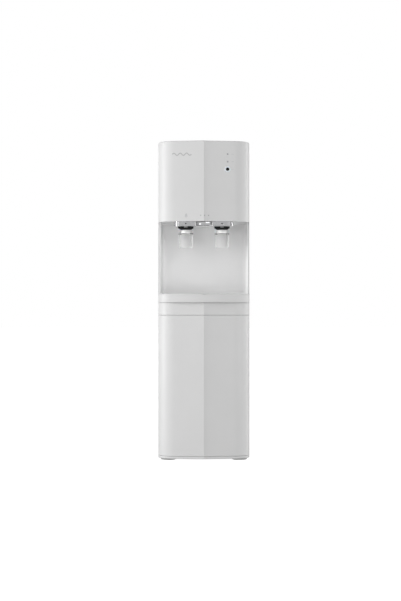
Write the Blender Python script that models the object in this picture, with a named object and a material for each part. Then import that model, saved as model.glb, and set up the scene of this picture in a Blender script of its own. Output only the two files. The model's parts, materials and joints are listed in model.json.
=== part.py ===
"""Floor-standing water dispenser: cabinet, taps, drip tray, tanks, filters and cooling system.

Metres, +Z up. The origin is on the floor, under the middle of the object's box. The front faces -Y.
Each sub-part is one named object with its own material.
"""

from math import atan, atan2, cos, pi, radians, sin, sqrt, tan

import bmesh
import bpy
from mathutils import Matrix, Vector

# ---- driving dimensions -------------------------------------------------------------------------
WIDTH = 0.317            # across the side panels
DEPTH = 0.360            # ledge front to wall stand-offs
HEIGHT = 1.100
GAP = 0.0003             # between pieces that touch
SEAM = 0.0010            # visible joint between covers
WALL = 0.0030            # moulded front covers
PANEL = 0.0025           # side panels

HALF = WIDTH / 2
LEDGE_FRONT = -DEPTH / 2
REAR = DEPTH / 2
CREST_Y = -0.172         # the crease of the front covers
FACET_ANGLE = radians(6.5)   # each half of the front leans back by this much from the crease
CORNER_ACROSS, CORNER_ALONG = 0.066, 0.050     # half axes of the upright front corners
CORNER_STEPS = 8
SIDE_FRONT_Y = -0.110    # the front covers end and the side panels start here
PANEL_REAR_Y = 0.165
REAR_RADIUS = 0.012
LEDGE_SAG = 0.013        # the ledge's bow over its straight width
LEDGE_HALF_CHORD = 0.1125

FOOT_HEIGHT = 0.0050
BASE_TOP = 0.0135
LOWER_TOP = 0.4985
STRIP_TOP = 0.5430
LEDGE_TOP = 0.5730
CEILING = 0.8220         # underside of the upper front cover and of the niche's ceiling
SIDE_TOP = 1.0950

NICHE_BACK_Y = 0.0
NICHE_HALF_FRONT = 0.152
NICHE_HALF_BACK = 0.147
LINER_HALF = 0.1552
LINER_WALL = 0.0025

TAP_X = 0.0625           # each tap from the centre plane
TAP_Y = -0.125
PIVOT_Z = 0.798
CONSOLE_BOTTOM = 0.8062
CONSOLE_HALF = 0.101
CONSOLE_FRONT = -0.160
FILTER_X = (-0.095, 0.0, 0.095)
FILTER_Y = -0.105
COLD_X, COLD_Y = 0.0, 0.015
HOT_X, HOT_Y = -0.050, 0.068
STATUS_X = 0.082


# ---- materials ----------------------------------------------------------------------------------
def material(name, colour, roughness, metallic=0.0, alpha=1.0):
    """The named finish, made the first time it is asked for."""
    if name in bpy.data.materials:
        return bpy.data.materials[name]
    made = bpy.data.materials.new(name)
    made.use_nodes = True
    shader = made.node_tree.nodes["Principled BSDF"]
    shader.inputs["Base Color"].default_value = (*colour, 1.0)
    shader.inputs["Roughness"].default_value = roughness
    shader.inputs["Metallic"].default_value = metallic
    shader.inputs["Alpha"].default_value = alpha
    return made


def white():
    return material("cabinet_white", (0.82, 0.82, 0.81), 0.35)


def liner_grey():
    return material("liner_white", (0.78, 0.78, 0.77), 0.45)


def chrome():
    return material("chrome", (0.80, 0.81, 0.82), 0.08, 1.0)


def steel():
    return material("stainless", (0.62, 0.62, 0.61), 0.30, 1.0)


def zinc():
    return material("zinc_sheet", (0.55, 0.57, 0.58), 0.40, 0.9)


def copper():
    return material("copper", (0.72, 0.42, 0.26), 0.30, 1.0)


def black_plastic():
    return material("black_plastic", (0.02, 0.02, 0.02), 0.30)


def black_paint():
    return material("black_paint", (0.03, 0.03, 0.03), 0.40)


def clear_plastic():
    return material("clear_plastic", (0.85, 0.87, 0.88), 0.08, alpha=0.45)


def rubber():
    return material("grey_rubber", (0.45, 0.45, 0.45), 0.75)


def foam():
    return material("foam", (0.88, 0.88, 0.86), 0.90)


def circuit_board():
    return material("circuit_board", (0.03, 0.22, 0.09), 0.50)


def lens():
    return material("light_lens", (0.35, 0.36, 0.37), 0.15)


def milky_plastic():
    return material("milky_plastic", (0.78, 0.80, 0.80), 0.40)


# ---- mesh builders ------------------------------------------------------------------------------
def add_object(name, bm, finish, smooth_angle=30.0):
    """Turns a bmesh into a named object with outward faces, smooth where it is round."""
    bmesh.ops.recalc_face_normals(bm, faces=bm.faces)
    mesh = bpy.data.meshes.new(name)
    bm.to_mesh(mesh)
    bm.free()
    mesh.shade_smooth()
    mesh.set_sharp_from_angle(angle=radians(smooth_angle))
    mesh.materials.append(finish)
    made = bpy.data.objects.new(name, mesh)
    bpy.context.collection.objects.link(made)
    return made


def loft(name, rings, finish):
    """Closed rings of equal length joined in order, with a flat cap on each end."""
    bm = bmesh.new()
    rows = [[bm.verts.new(point) for point in ring] for ring in rings]
    for low, high in zip(rows, rows[1:]):
        for i in range(len(low)):
            j = (i + 1) % len(low)
            bm.faces.new((low[i], low[j], high[j], high[i]))
    bm.faces.new(rows[0])
    bm.faces.new(rows[-1])
    return add_object(name, bm, finish)


def prism(name, outline, bottom, top, finish):
    """An (x, y) outline pulled straight up from bottom to top."""
    return loft(name, [[(x, y, z) for x, y in outline] for z in (bottom, top)], finish)


def side_prism(name, outline, left, right, finish):
    """A (y, z) outline pulled along X."""
    return loft(name, [[(x, y, z) for y, z in outline] for x in (left, right)], finish)


def front_prism(name, outline, near, far, finish):
    """An (x, z) outline pulled along Y."""
    return loft(name, [[(x, y, z) for x, z in outline] for y in (near, far)], finish)


def box(name, low, high, finish):
    (x0, y0, z0), (x1, y1, z1) = low, high
    return prism(name, [(x0, y0), (x1, y0), (x1, y1), (x0, y1)], z0, z1, finish)


def add_bevel(made, width):
    modifier = made.modifiers.new("Bevel", "BEVEL")
    modifier.width = width
    modifier.segments = 2
    modifier.limit_method = "ANGLE"
    modifier.angle_limit = radians(40)


AXES = {
    "X": Matrix.Rotation(pi / 2, 4, "Y"),
    "Y": Matrix.Rotation(pi / 2, 4, "X"),
    "Z": Matrix.Identity(4),
}


def turned(name, profile, centre, finish, axis="Z", steps=24):
    """A (radius, height) profile turned about an axis; a profile off the axis makes a ring.

    Height runs along +Z, +X or, for axis Y, towards the front (-Y).
    """
    closed_on_axis = profile[0][0] == 0 and profile[-1][0] == 0
    bm = bmesh.new()
    place = Matrix.Translation(centre) @ AXES[axis]
    columns = []
    for step in range(steps):
        angle = 2 * pi * step / steps
        columns.append([
            None if r == 0 else bm.verts.new(place @ Vector((r * cos(angle), r * sin(angle), h)))
            for r, h in profile
        ])
    poles = [bm.verts.new(place @ Vector((0, 0, h))) if r == 0 else None for r, h in profile]
    count = len(profile)
    spans = [(i, i + 1) for i in range(count - 1)]
    if not closed_on_axis:
        spans.append((count - 1, 0))
    for step in range(steps):
        here, there = columns[step], columns[(step + 1) % steps]
        for a, b in spans:
            corners = [here[a] or poles[a], there[a] or poles[a], there[b] or poles[b], here[b] or poles[b]]
            unique = list(dict.fromkeys(corners))
            if len(unique) > 2:
                bm.faces.new(unique)
    return add_object(name, bm, finish)


def rod(name, centre, radius, length, finish, axis="Z", steps=16):
    """A plain cylinder that starts at its centre point and runs along the axis."""
    return turned(name, [(0, 0), (radius, 0), (radius, length), (0, length)], centre, finish, axis, steps)


def tube(name, points, radius, finish, resolution=2):
    """A round tube with closed ends along a list of points."""
    curve = bpy.data.curves.new(name, "CURVE")
    curve.dimensions = "3D"
    curve.bevel_depth = radius
    curve.bevel_resolution = resolution
    curve.use_fill_caps = True
    spline = curve.splines.new("POLY")
    spline.points.add(len(points) - 1)
    for item, point in zip(spline.points, points):
        item.co = (*point, 1.0)
    curve.materials.append(finish)
    made = bpy.data.objects.new(name, curve)
    bpy.context.collection.objects.link(made)
    return made


def smooth_route(points, steps=6):
    """Points read from a Catmull-Rom curve through the given points."""
    ends = [points[0] * 2 - points[1], *points, points[-1] * 2 - points[-2]]
    route = []
    for a, b, c, d in zip(ends, ends[1:], ends[2:], ends[3:]):
        for step in range(steps):
            t = step / steps
            route.append(0.5 * ((2 * b) + (c - a) * t + (2 * a - 5 * b + 4 * c - d) * t * t
                                + (3 * b - a - 3 * c + d) * t * t * t))
    route.append(points[-1])
    return route


def combine(made, others, operation):
    """Adds or cuts other shapes; they stay in the file as hidden guides."""
    for other in others:
        modifier = made.modifiers.new(other.name, "BOOLEAN")
        modifier.operation = operation
        modifier.solver = "EXACT"
        modifier.object = other
        other.hide_render = True
        other.display_type = "WIRE"
        other.parent = made
        other.matrix_parent_inverse = made.matrix_world.inverted()
    return made


def cut(made, *cutters):
    return combine(made, cutters, "DIFFERENCE")


def join(made, *others):
    return combine(made, others, "UNION")


def hinge_origin(made, point):
    """Moves the object's origin onto its joint's axis without moving its shape."""
    offset = Vector(point)
    if made.type == "MESH":
        made.data.transform(Matrix.Translation(-offset))
    made.location = offset
    for child in made.children:
        child.matrix_parent_inverse = Matrix.Translation(-offset)
    return made


# ---- plan outlines, each from the left end round the front to the right end ------------------------
def arc(centre, radius, start, stop, steps):
    """Points on an arc in the plane, both ends included."""
    turn = [start + (stop - start) * i / steps for i in range(steps + 1)]
    return [(centre[0] + radius * cos(t), centre[1] + radius * sin(t)) for t in turn]


def mirrored(right, middle=()):
    """The right half's points, with the left half put before them."""
    return [(-x, y) for x, y in reversed(right)] + list(middle) + list(right)


def facet_y(x, inset=0.0):
    """Y of the creased front surface, or of a surface parallel to it inside."""
    return CREST_Y + tan(FACET_ANGLE) * abs(x) + inset / cos(FACET_ANGLE)


def corner_from(surface, inset):
    """An elliptical corner tangent to a front surface at one side, and the x where it starts."""
    start = HALF - CORNER_ACROSS
    for _ in range(4):
        height, slope = surface(start)
        lean = atan(CORNER_ACROSS / CORNER_ALONG * slope)
        start = HALF - CORNER_ACROSS * (1 - sin(lean))
    centre_y = surface(start)[0] + CORNER_ALONG * cos(lean)
    turn = [lean - pi / 2 + (pi / 2 - lean) * i / CORNER_STEPS for i in range(CORNER_STEPS + 1)]
    return start, [(HALF - CORNER_ACROSS + (CORNER_ACROSS - inset) * cos(t),
                    centre_y + (CORNER_ALONG - inset) * sin(t)) for t in turn]


def crease_surface(x):
    """Y and slope of the creased front at x from the crease."""
    return facet_y(x), tan(FACET_ANGLE)


def bow_surface(x):
    """Y and slope of the ledge's bow at x from the centre plane."""
    bow = (LEDGE_HALF_CHORD**2 + LEDGE_SAG**2) / (2 * LEDGE_SAG)
    return LEDGE_FRONT + bow - sqrt(bow * bow - x * x), x / sqrt(bow * bow - x * x)


def creased_outline(inset=0.0, end=SIDE_FRONT_Y):
    """Two flat facets that meet in the crease, round corners, straight sides back to `end`."""
    corner = corner_from(crease_surface, inset)[1]
    return mirrored([*corner, (HALF - inset, end)], [(0, facet_y(0, inset))])


def bowed_outline(inset=0.0, end=SIDE_FRONT_Y, steps=7):
    """The ledge's plan: one wide bow, round corners, straight sides back to `end`."""
    start, corner = corner_from(bow_surface, inset)
    front = []
    for i in range(1, steps):
        y, slope = bow_surface(start * i / steps)
        lean = sqrt(1 + slope * slope)
        front.append((start * i / steps - inset * slope / lean, y + inset / lean))
    return mirrored([*front, *corner, (HALF - inset, end)], [(0, LEDGE_FRONT + inset)])


def rear_corners(inset=0.0, rear=PANEL_REAR_Y):
    """The two round rear corners, right one first."""
    centre = (HALF - REAR_RADIUS, rear - REAR_RADIUS)
    right = arc(centre, REAR_RADIUS - inset, 0, pi / 2, 3)
    return right + [(-x, y) for x, y in reversed(right)]


def rounded_box_outline(x0, y0, x1, y1, radius, steps=4):
    """A rectangle with four round corners."""
    corners = ((x1 - radius, y0 + radius, -pi / 2), (x1 - radius, y1 - radius, 0),
               (x0 + radius, y1 - radius, pi / 2), (x0 + radius, y0 + radius, pi))
    return [p for x, y, t in corners for p in arc((x, y), radius, t, t + pi / 2, steps)]


def niche_outline(inset=0.0, front=SIDE_FRONT_Y + SEAM / 2):
    """The niche's plan: side walls that close in a little towards a back wall with round corners."""
    radius = 0.012
    corner = arc((NICHE_HALF_BACK - radius, NICHE_BACK_Y - radius), radius - inset, 0, pi / 2, 4)
    right = [(NICHE_HALF_FRONT - inset, front), *corner]
    return right + [(-x, y) for x, y in reversed(right)]


def console_outline(inset=0.0, start=0.0, end=-0.100):
    """Half of the tap console's plan: flat front, round corner, straight side."""
    radius = 0.016
    centre = (CONSOLE_HALF - radius, CONSOLE_FRONT + radius)
    corner = arc(centre, radius - inset, -pi / 2, 0, 5)
    return [(start, CONSOLE_FRONT + inset), *corner, (CONSOLE_HALF - inset, end)]


def shell(name, outline, bottom, top, thickness, finish):
    """A wall of even thickness that follows an open outline."""
    return prism(name, outline(0.0) + outline(thickness)[::-1], bottom, top, finish)


# ---- cabinet --------------------------------------------------------------------------------------
def rounded_rings(outline, bottom, top, top_round=0.0, bottom_round=0.0):
    """Rings of one outline with quarter-round edges at its top and bottom."""
    rings = []
    if bottom_round:
        rings += [(bottom, bottom_round), (bottom + 0.3 * bottom_round, 0.3 * bottom_round)]
    rings.append((bottom + bottom_round, 0.0))
    rings.append((top - top_round, 0.0))
    if top_round:
        rings += [(top - 0.3 * top_round, 0.3 * top_round), (top, top_round)]
    return [[(x, y, z) for x, y in outline(inset)] for z, inset in rings]


def make_base():
    def plan(inset):
        return creased_outline(inset) + rear_corners(inset)

    loft("base_plate", rounded_rings(plan, FOOT_HEIGHT, BASE_TOP, bottom_round=0.002), white())
    radius, top, edge = 0.0262, FOOT_HEIGHT - GAP, 0.0022
    pad = [(0, 0), (radius - edge, 0), (radius - 0.3 * edge, 0.3 * edge), (radius, edge),
           (radius, top), (0, top)]
    places = {"front_left": (-0.123, -0.124), "front_right": (0.123, -0.124),
              "rear_left": (-0.123, 0.128), "rear_right": (0.123, 0.128)}
    for place, (x, y) in places.items():
        turned(f"foot_{place}", pad, (x, y, 0), rubber())


def make_side_panels():
    def plan(inset):
        return_end = 0.125
        corner = arc((HALF - REAR_RADIUS, PANEL_REAR_Y - REAR_RADIUS), REAR_RADIUS - inset, 0, pi / 2, 4)
        return [(HALF - inset, SIDE_FRONT_Y + SEAM / 2), *corner, (return_end, PANEL_REAR_Y - inset)]

    section = plan(0.0) + plan(PANEL)[::-1]
    for name, side in (("side_panel_left", -1), ("side_panel_right", 1)):
        outline = [(side * x, y) for x, y in section]
        prism(name, outline, BASE_TOP + SEAM, SIDE_TOP, white())


def make_front_covers():
    """Upper cover with a closed top, fixed strip, and lower cover on its clips."""
    rings = rounded_rings(creased_outline, CEILING, HEIGHT, top_round=0.003)
    upper = loft("upper_front_cover", rings, white())
    inner = creased_outline(WALL, end=SIDE_FRONT_Y + 0.02)
    hollow = prism("upper_cover_hollow", inner, CEILING - 0.02, HEIGHT - WALL, white())
    holes = [
        rod(f"cover_hole_{i}", (x, -0.140, z), radius, 0.045, white(), axis="Y", steps=12)
        for i, (x, z, radius) in enumerate(light_holes())
    ]
    cut(upper, hollow, *holes)
    shell("front_strip", creased_outline, LOWER_TOP + SEAM, STRIP_TOP, WALL, white())
    lower = shell("lower_front_cover", creased_outline, BASE_TOP + SEAM, LOWER_TOP, WALL, white())
    hinge_origin(lower, (0, CREST_Y, BASE_TOP + SEAM))


def make_top_cover():
    front = SIDE_FRONT_Y + SEAM / 2

    def plan(inset):
        corners = rear_corners(inset)
        return [(-(HALF - inset), front), (HALF - inset, front), *corners]

    loft("top_cover", rounded_rings(plan, SIDE_TOP + 0.0005, HEIGHT, top_round=0.003), white())


SWITCH_X = (0.020, -0.020)
SWITCH_Z = 0.846
INLET_AT = (-0.100, 0.085)     # x, z of the power inlet
WATER_AT = (0.100, 0.095)
DRAIN_AT = (0.060, 0.050)


def make_rear_cover():
    half, front, back = 0.147, 0.1608, 0.1620
    cover = box("rear_cover", (-half, front, BASE_TOP + SEAM), (half, back, SIDE_TOP - 0.0005), zinc())
    near, far = front - 0.01, back + 0.01
    cutters = []
    rows = [0.175 + 0.014 * i for i in range(6)] + [0.885 + 0.014 * i for i in range(9)]
    for i, z in enumerate(rows):
        cutters.append(box(f"vent_{i}", (-0.105, near, z), (0.105, far, z + 0.005), zinc()))
    for i, x in enumerate(SWITCH_X):
        low, high = (x - 0.0065, near, SWITCH_Z - 0.0115), (x + 0.0065, far, SWITCH_Z + 0.0115)
        cutters.append(box(f"switch_window_{i}", low, high, zinc()))
    x, z = INLET_AT
    cutters.append(box("inlet_window", (x - 0.016, near, z - 0.012), (x + 0.016, far, z + 0.012), zinc()))
    for i, (x, z) in enumerate((WATER_AT, DRAIN_AT)):
        cutters.append(rod(f"fitting_hole_{i}", (x, far, z), 0.0083, far - near, zinc(), axis="Y"))
    cut(cover, *cutters)
    # Two folded tabs grip the power inlet.
    x, z = INLET_AT
    for i, (x0, x1) in enumerate(((x - 0.0172, x - 0.016), (x + 0.016, x + 0.0172))):
        low, high = (x0, 0.1495, z - 0.012), (x1, front + 0.0004, z + 0.012)
        join(cover, box(f"inlet_tab_{i}", low, high, zinc()))


def make_niche():
    floor_top, slab = STRIP_TOP, 0.0001
    walls = niche_outline()
    outer = [(LINER_HALF, walls[0][1]), (LINER_HALF, NICHE_BACK_Y + LINER_WALL),
             (-LINER_HALF, NICHE_BACK_Y + LINER_WALL), (-LINER_HALF, walls[0][1])]
    liner = prism("niche_liner", walls + outer[::-1], floor_top - slab, CEILING + slab, liner_grey())
    floor = prism("niche_floor", outer, floor_top - LINER_WALL, floor_top, liner_grey())
    plan = creased_outline(WALL + GAP, end=NICHE_BACK_Y + LINER_WALL)
    ceiling = prism("niche_ceiling", plan, CEILING, CEILING + LINER_WALL, liner_grey())
    join(liner, floor, ceiling)
    cut(liner, *[rod(f"liner_bore_{i}", (x, TAP_Y, CEILING - 0.01), 0.0130, 0.02, liner_grey())
                 for i, x in enumerate((-TAP_X, TAP_X))])


def make_shelves():
    """Two folded sheets across the cabinet; the tanks stand on them."""
    half, sheet = 0.1545, 0.0012
    for name, top, flange, front in (("middle_shelf", 0.5170, 0.012, -0.105),
                                     ("tank_shelf", 0.8342, 0.006, -0.098)):
        low, under = top - sheet - flange, top - sheet
        outline = [(-half, low), (-half, top), (half, top), (half, low), (half - sheet, low),
                   (half - sheet, under), (-half + sheet, under), (-half + sheet, low)]
        front_prism(name, outline, front, 0.130, zinc())


# ---- drip tray ------------------------------------------------------------------------------------
def make_drip_tray():
    """The bowed ledge and the basin are one moulding that pulls out forward."""
    slab = rounded_rings(bowed_outline, STRIP_TOP + 0.0005, LEDGE_TOP, top_round=0.0015)
    tray = loft("drip_tray", slab, white())
    block = prism("tray_block", niche_outline(0.001, front=-0.112), STRIP_TOP + 0.0005, LEDGE_TOP, white())
    join(tray, block)
    basin = prism("tray_basin", rounded_box_outline(-0.130, -0.150, 0.130, -0.0065, 0.012, 2),
                  0.5470, LEDGE_TOP + 0.01, white())
    rebate = prism("grille_rebate", rounded_box_outline(-0.1335, -0.1535, 0.1335, -0.0045, 0.014),
                   0.5700, LEDGE_TOP + 0.01, white())
    notch_radius, notch_depth = 0.0097, 0.005
    notch_z = LEDGE_TOP + notch_radius - notch_depth
    notch = rod("finger_notch", (0, -0.166, notch_z), notch_radius, 0.03, white(), axis="Y", steps=24)
    cut(tray, basin, rebate, notch)

    plate = rounded_box_outline(-0.1330, -0.1530, 0.1330, -0.0050, 0.0135)
    grille = prism("drip_grille", plate, 0.5703, 0.5722, steel())
    slot_width, slot_pitch, rib_half = 0.0022, 0.0056, 0.0025
    rows = [-0.1445 + slot_pitch * i for i in range(24)]
    slots = [box(f"grille_slot_{i}_{j}", (x0, y, 0.56), (x1, y + slot_width, 0.58), steel())
             for i, y in enumerate(rows)
             for j, (x0, x1) in enumerate(((-0.112, -rib_half), (rib_half, 0.112)))]
    cut(grille, *slots)


# ---- taps -----------------------------------------------------------------------------------------
BUTTON_HALF = 0.0268


def make_console():
    half = console_outline(0.0017)
    outline = half + [(-x, y) for x, y in reversed(half[1:])]
    console = prism("tap_console", outline, CONSOLE_BOTTOM, CEILING - GAP, liner_grey())
    bores = [rod(f"console_bore_{i}", (x, TAP_Y, CONSOLE_BOTTOM - 0.01), 0.0130, 0.04, liner_grey())
             for i, x in enumerate((-TAP_X, TAP_X))]
    pocket_half, trim_start = 0.0278, 0.0300
    pocket = box("button_pocket", (-pocket_half, -0.170, CONSOLE_BOTTOM + 0.0006),
                 (pocket_half, -0.130, 0.83), liner_grey())
    cut(console, pocket, *bores)
    trim = console_outline(0.0, start=trim_start, end=-0.130)
    section = trim + console_outline(0.0014, start=trim_start, end=-0.130)[::-1]
    for name, side in (("chrome_trim_left", -1), ("chrome_trim_right", 1)):
        prism(name, [(side * x, y) for x, y in section], CONSOLE_BOTTOM, CEILING - GAP, chrome())

    face = -0.1585
    bulge = 0.0062
    radius = (BUTTON_HALF**2 + bulge**2) / (2 * bulge)
    spread = atan2(BUTTON_HALF, radius - bulge)
    front = arc((0, face - bulge + radius), radius, -pi / 2 - spread, -pi / 2 + spread, 10)
    outline = front + [(BUTTON_HALF, -0.1440), (-BUTTON_HALF, -0.1440)]
    prism("select_button", outline, CONSOLE_BOTTOM + 0.0011, CEILING - 0.0009, chrome())
    box("button_switch", (-0.0060, -0.1412, CONSOLE_BOTTOM + 0.0050),
        (0.0060, -0.1303, CONSOLE_BOTTOM + 0.0130), black_plastic())


def make_tap(name, x):
    """Valve with its outlet, pivot pin, return spring, black lever head and clear paddle."""
    neck_top, collar_top, collar_bottom = 0.8500, CONSOLE_BOTTOM - GAP, 0.7830
    profile = [(0, 0.7925), (0.0050, 0.7925), (0.0050, collar_bottom), (0.0150, collar_bottom),
               (0.0165, collar_bottom + 0.0015), (0.0165, collar_top), (0.0127, collar_top),
               (0.0127, neck_top), (0, neck_top)]
    valve = turned(f"{name}_tap_valve", profile, (x, TAP_Y, 0), liner_grey())
    pin_radius, bore = 0.0020, 0.0023
    cross = rod(f"{name}_pin_bore", (x - 0.03, TAP_Y, PIVOT_Z), bore, 0.06, liner_grey(), axis="X")
    cut(valve, cross)
    rod(f"{name}_lever_pin", (x - 0.0262, TAP_Y, PIVOT_Z), pin_radius, 0.0524, steel(), axis="X", steps=12)

    turns, steps, coil_radius, pitch = 2, 10, 0.0036, 0.0012
    coil = [Vector((x + 0.0176 + pitch * i / steps, TAP_Y + coil_radius * cos(2 * pi * i / steps),
                    PIVOT_Z + coil_radius * sin(2 * pi * i / steps)))
            for i in range(turns * steps + 1)]
    tube(f"{name}_lever_spring", coil, 0.0004, steel(), resolution=1)

    # The head's front bar: wide at the top, a narrower middle below, and a notch over its centre.
    right = [(0.0070, 0.8000), (0.0075, 0.8052), (0.0270, 0.8052), (0.0262, 0.7995), (0.0225, 0.7955),
             (0.0170, 0.7955), (0.0160, 0.7925)]
    bar = [(x + a, z) for a, z in right] + [(x - a, z) for a, z in reversed(right)]
    lever = front_prism(f"{name}_lever", bar, -0.1500, -0.1455, black_plastic())
    end = [(TAP_Y + 0.005 * cos(t), PIVOT_Z + 0.005 * sin(t)) for t in (pi / 2, pi / 3, pi / 6, 0)]
    arm = [(-0.1470, 0.8052), *end, (TAP_Y + 0.005, 0.7860), (-0.1310, 0.7860), (-0.1310, 0.7930),
           (-0.1470, 0.7930)]
    arms = [side_prism(f"{name}_arm_{side}", arm, x + side * 0.0205, x + side * 0.0245, black_plastic())
            for side in (-1, 1)]
    join(lever, *arms)
    arm_bore = rod(f"{name}_arm_bore", (x - 0.03, TAP_Y, PIVOT_Z), bore, 0.06, black_plastic(), axis="X")
    cut(lever, arm_bore)
    hinge_origin(lever, (x, TAP_Y, PIVOT_Z))

    outer, inner = 0.0245, 0.0225
    out = [(x + px, py) for px, py in arc((0, TAP_Y), outer, 0, pi, 14)]
    back = [(x + px, py) for px, py in arc((0, TAP_Y), inner, pi, 0, 14)]
    front = -0.1310
    section = [(x + outer, front), *out, (x - outer, front), (x - inner, front), *back, (x + inner, front)]
    paddle = prism(f"{name}_paddle", section, 0.7330, 0.7857, clear_plastic())
    hinge_origin(paddle, (x, TAP_Y, PIVOT_Z))


# ---- lights ---------------------------------------------------------------------------------------
MODE_LIGHTS = (-0.011, 0.0025, 0.016)
MODE_Z = 0.842
STATUS_Z = (1.028, 1.054)
SENSOR_Z = 1.002
PIN_STATUS, PIN_MODE, SENSOR = 0.0025, 0.0016, 0.0055
HOLE_CLEARANCE = 0.0004


def light_holes():
    """x, z and radius of each hole in the upper cover."""
    status = [(STATUS_X, z, PIN_STATUS + HOLE_CLEARANCE) for z in STATUS_Z]
    mode = [(x, MODE_Z, PIN_MODE + HOLE_CLEARANCE) for x in MODE_LIGHTS]
    return status + mode + [(STATUS_X, SENSOR_Z, SENSOR + HOLE_CLEARANCE)]


def make_lights():
    behind = -0.1540
    pipe = box("status_light_pipe", (STATUS_X - 0.003, behind - 0.002, STATUS_Z[0] - 0.004),
               (STATUS_X + 0.003, behind, STATUS_Z[1] + 0.004), lens())
    length = behind - 0.001 - facet_y(STATUS_X)
    join(pipe, *[rod(f"status_pin_{i}", (STATUS_X, behind - 0.001, z), PIN_STATUS, length, lens(),
                     axis="Y", steps=12) for i, z in enumerate(STATUS_Z)])
    behind = -0.1640
    pipe = box("mode_light_pipe", (MODE_LIGHTS[0] - 0.003, behind - 0.002, MODE_Z - 0.0025),
               (MODE_LIGHTS[-1] + 0.003, behind, MODE_Z + 0.0025), lens())
    join(pipe, *[rod(f"mode_pin_{i}", (x, behind - 0.001, MODE_Z), PIN_MODE,
                     behind - 0.001 - facet_y(x), lens(), axis="Y", steps=12)
                 for i, x in enumerate(MODE_LIGHTS)])
    start = -0.1530
    rod("light_sensor_window", (STATUS_X, start, SENSOR_Z), SENSOR, start - facet_y(STATUS_X),
        black_plastic(), axis="Y")
    box("display_board", (0.055, -0.1510, 0.986), (0.112, -0.1494, 1.074), circuit_board())


# ---- water tanks ----------------------------------------------------------------------------------
def helix(centre, radius, bottom, top, turns, steps):
    count = turns * steps
    return [Vector((centre[0] + radius * cos(2 * pi * i / steps),
                    centre[1] + radius * sin(2 * pi * i / steps),
                    bottom + (top - bottom) * i / count)) for i in range(count + 1)]


def make_cold_tank():
    block = rounded_box_outline(COLD_X - 0.112, COLD_Y - 0.112, COLD_X + 0.112, COLD_Y + 0.112, 0.030, 5)
    jacket_bottom, jacket_top, well_bottom = 0.8345, 1.0300, 0.8545
    jacket = prism("cold_tank_insulation", block, jacket_bottom, jacket_top, foam())
    well = rod("jacket_well", (COLD_X, COLD_Y, well_bottom), 0.0900, 0.2, foam(), steps=32)
    cut(jacket, well)
    low, rim = well_bottom + GAP, 1.0320
    sheet = 0.0015
    cup = [(0, low), (0.0780, low), (0.0780, rim), (0.0765, rim), (0.0765, low + sheet), (0, low + sheet)]
    turned("cold_tank", cup, (COLD_X, COLD_Y, 0), steel(), steps=32)
    coil = helix((COLD_X, COLD_Y), 0.0836, 0.880, 1.005, 5, 16)
    tube("evaporator_coil", coil, 0.0040, copper(), resolution=1)
    lid = [(0, rim + GAP), (0.100, rim + GAP), (0.100, rim + 0.0045), (0.096, rim + 0.0063),
           (0, rim + 0.0063)]
    turned("cold_tank_lid", lid, (COLD_X, COLD_Y, 0), liner_grey(), steps=28)
    stem = [(0, 0.8980), (0.0060, 0.8980), (0.0060, 0.9010), (0.0030, 0.9010), (0.0030, rim - GAP),
            (0, rim - GAP)]
    turned("float_stem", stem, (COLD_X, COLD_Y, 0), steel(), steps=12)
    ring = [(0.0036, 0.9014), (0.0160, 0.9014), (0.0180, 0.9034), (0.0180, 0.9190), (0.0160, 0.9210),
            (0.0036, 0.9210)]
    turned("level_float", ring, (COLD_X, COLD_Y, 0), milky_plastic(), steps=20)


def make_hot_tank():
    foot, sheet, port = 0.5170 + GAP, 0.0015, 0.004
    outside = [(0, foot), (0.045, foot), (0.056, foot + 0.011), (0.056, 0.680), (0.045, 0.692),
               (0.012, 0.6945), (0.012, 0.705)]
    inside = [(port, 0.705), (port, 0.692), (0.044, 0.690), (0.056 - sheet, 0.679),
              (0.056 - sheet, foot + 0.012), (0.044, foot + sheet), (0, foot + sheet)]
    turned("hot_tank", outside + inside, (HOT_X, HOT_Y, 0), steel(), steps=28)
    band = [(0.0563, 0.560), (0.0593, 0.560), (0.0593, 0.610), (0.0563, 0.610)]
    turned("band_heater", band, (HOT_X, HOT_Y, 0), copper(), steps=28)


# ---- cooling --------------------------------------------------------------------------------------
def make_cooling():
    """The compressor's thick shell carries the weight of the motor and pump inside it."""
    floor, port = BASE_TOP + GAP, 0.004
    outside = [(0, floor), (0.072, floor), (0.072, floor + 0.003), (0.056, 0.020), (0.063, 0.036),
               (0.064, 0.120), (0.058, 0.148), (0.040, 0.164), (0.012, 0.168)]
    inside = [(port, 0.168), (port, 0.152), (0.034, 0.152), (0.050, 0.138), (0.053, 0.120),
              (0.052, 0.036), (0, 0.036)]
    turned("compressor", outside + inside, (0, 0.070, 0), black_paint(), steps=28)

    plate_back, rail_y, pipe_radius = 0.1620 + GAP, 0.1717, 0.0030
    low, high, pad = 0.260, 0.820, 0.015
    rail = [(plate_back, low), (REAR, low), (REAR, low + pad), (rail_y, low + pad),
            (rail_y, high - pad), (REAR, high - pad), (REAR, high), (plate_back, high)]
    for name, x in (("condenser_rail_left", -0.085), ("condenser_rail_right", 0.085)):
        side_prism(name, rail, x - 0.006, x + 0.006, black_paint())

    runs, pitch, straight, bottom = 9, 0.058, 0.095, 0.300
    pipe_y = rail_y + GAP + pipe_radius
    route = []
    for run in range(runs):
        side = 1 if run % 2 else -1
        z = bottom + pitch * run
        route += [Vector((side * straight, pipe_y, z)), Vector((-side * straight, pipe_y, z))]
        if run < runs - 1:
            for step in range(1, 6):
                t = -pi / 2 + pi * step / 6
                route.append(Vector((-side * (straight + pitch / 2 * cos(t)), pipe_y,
                                     z + pitch / 2 + pitch / 2 * sin(t))))
    tube("condenser", route, pipe_radius, black_paint(), resolution=1)


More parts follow.
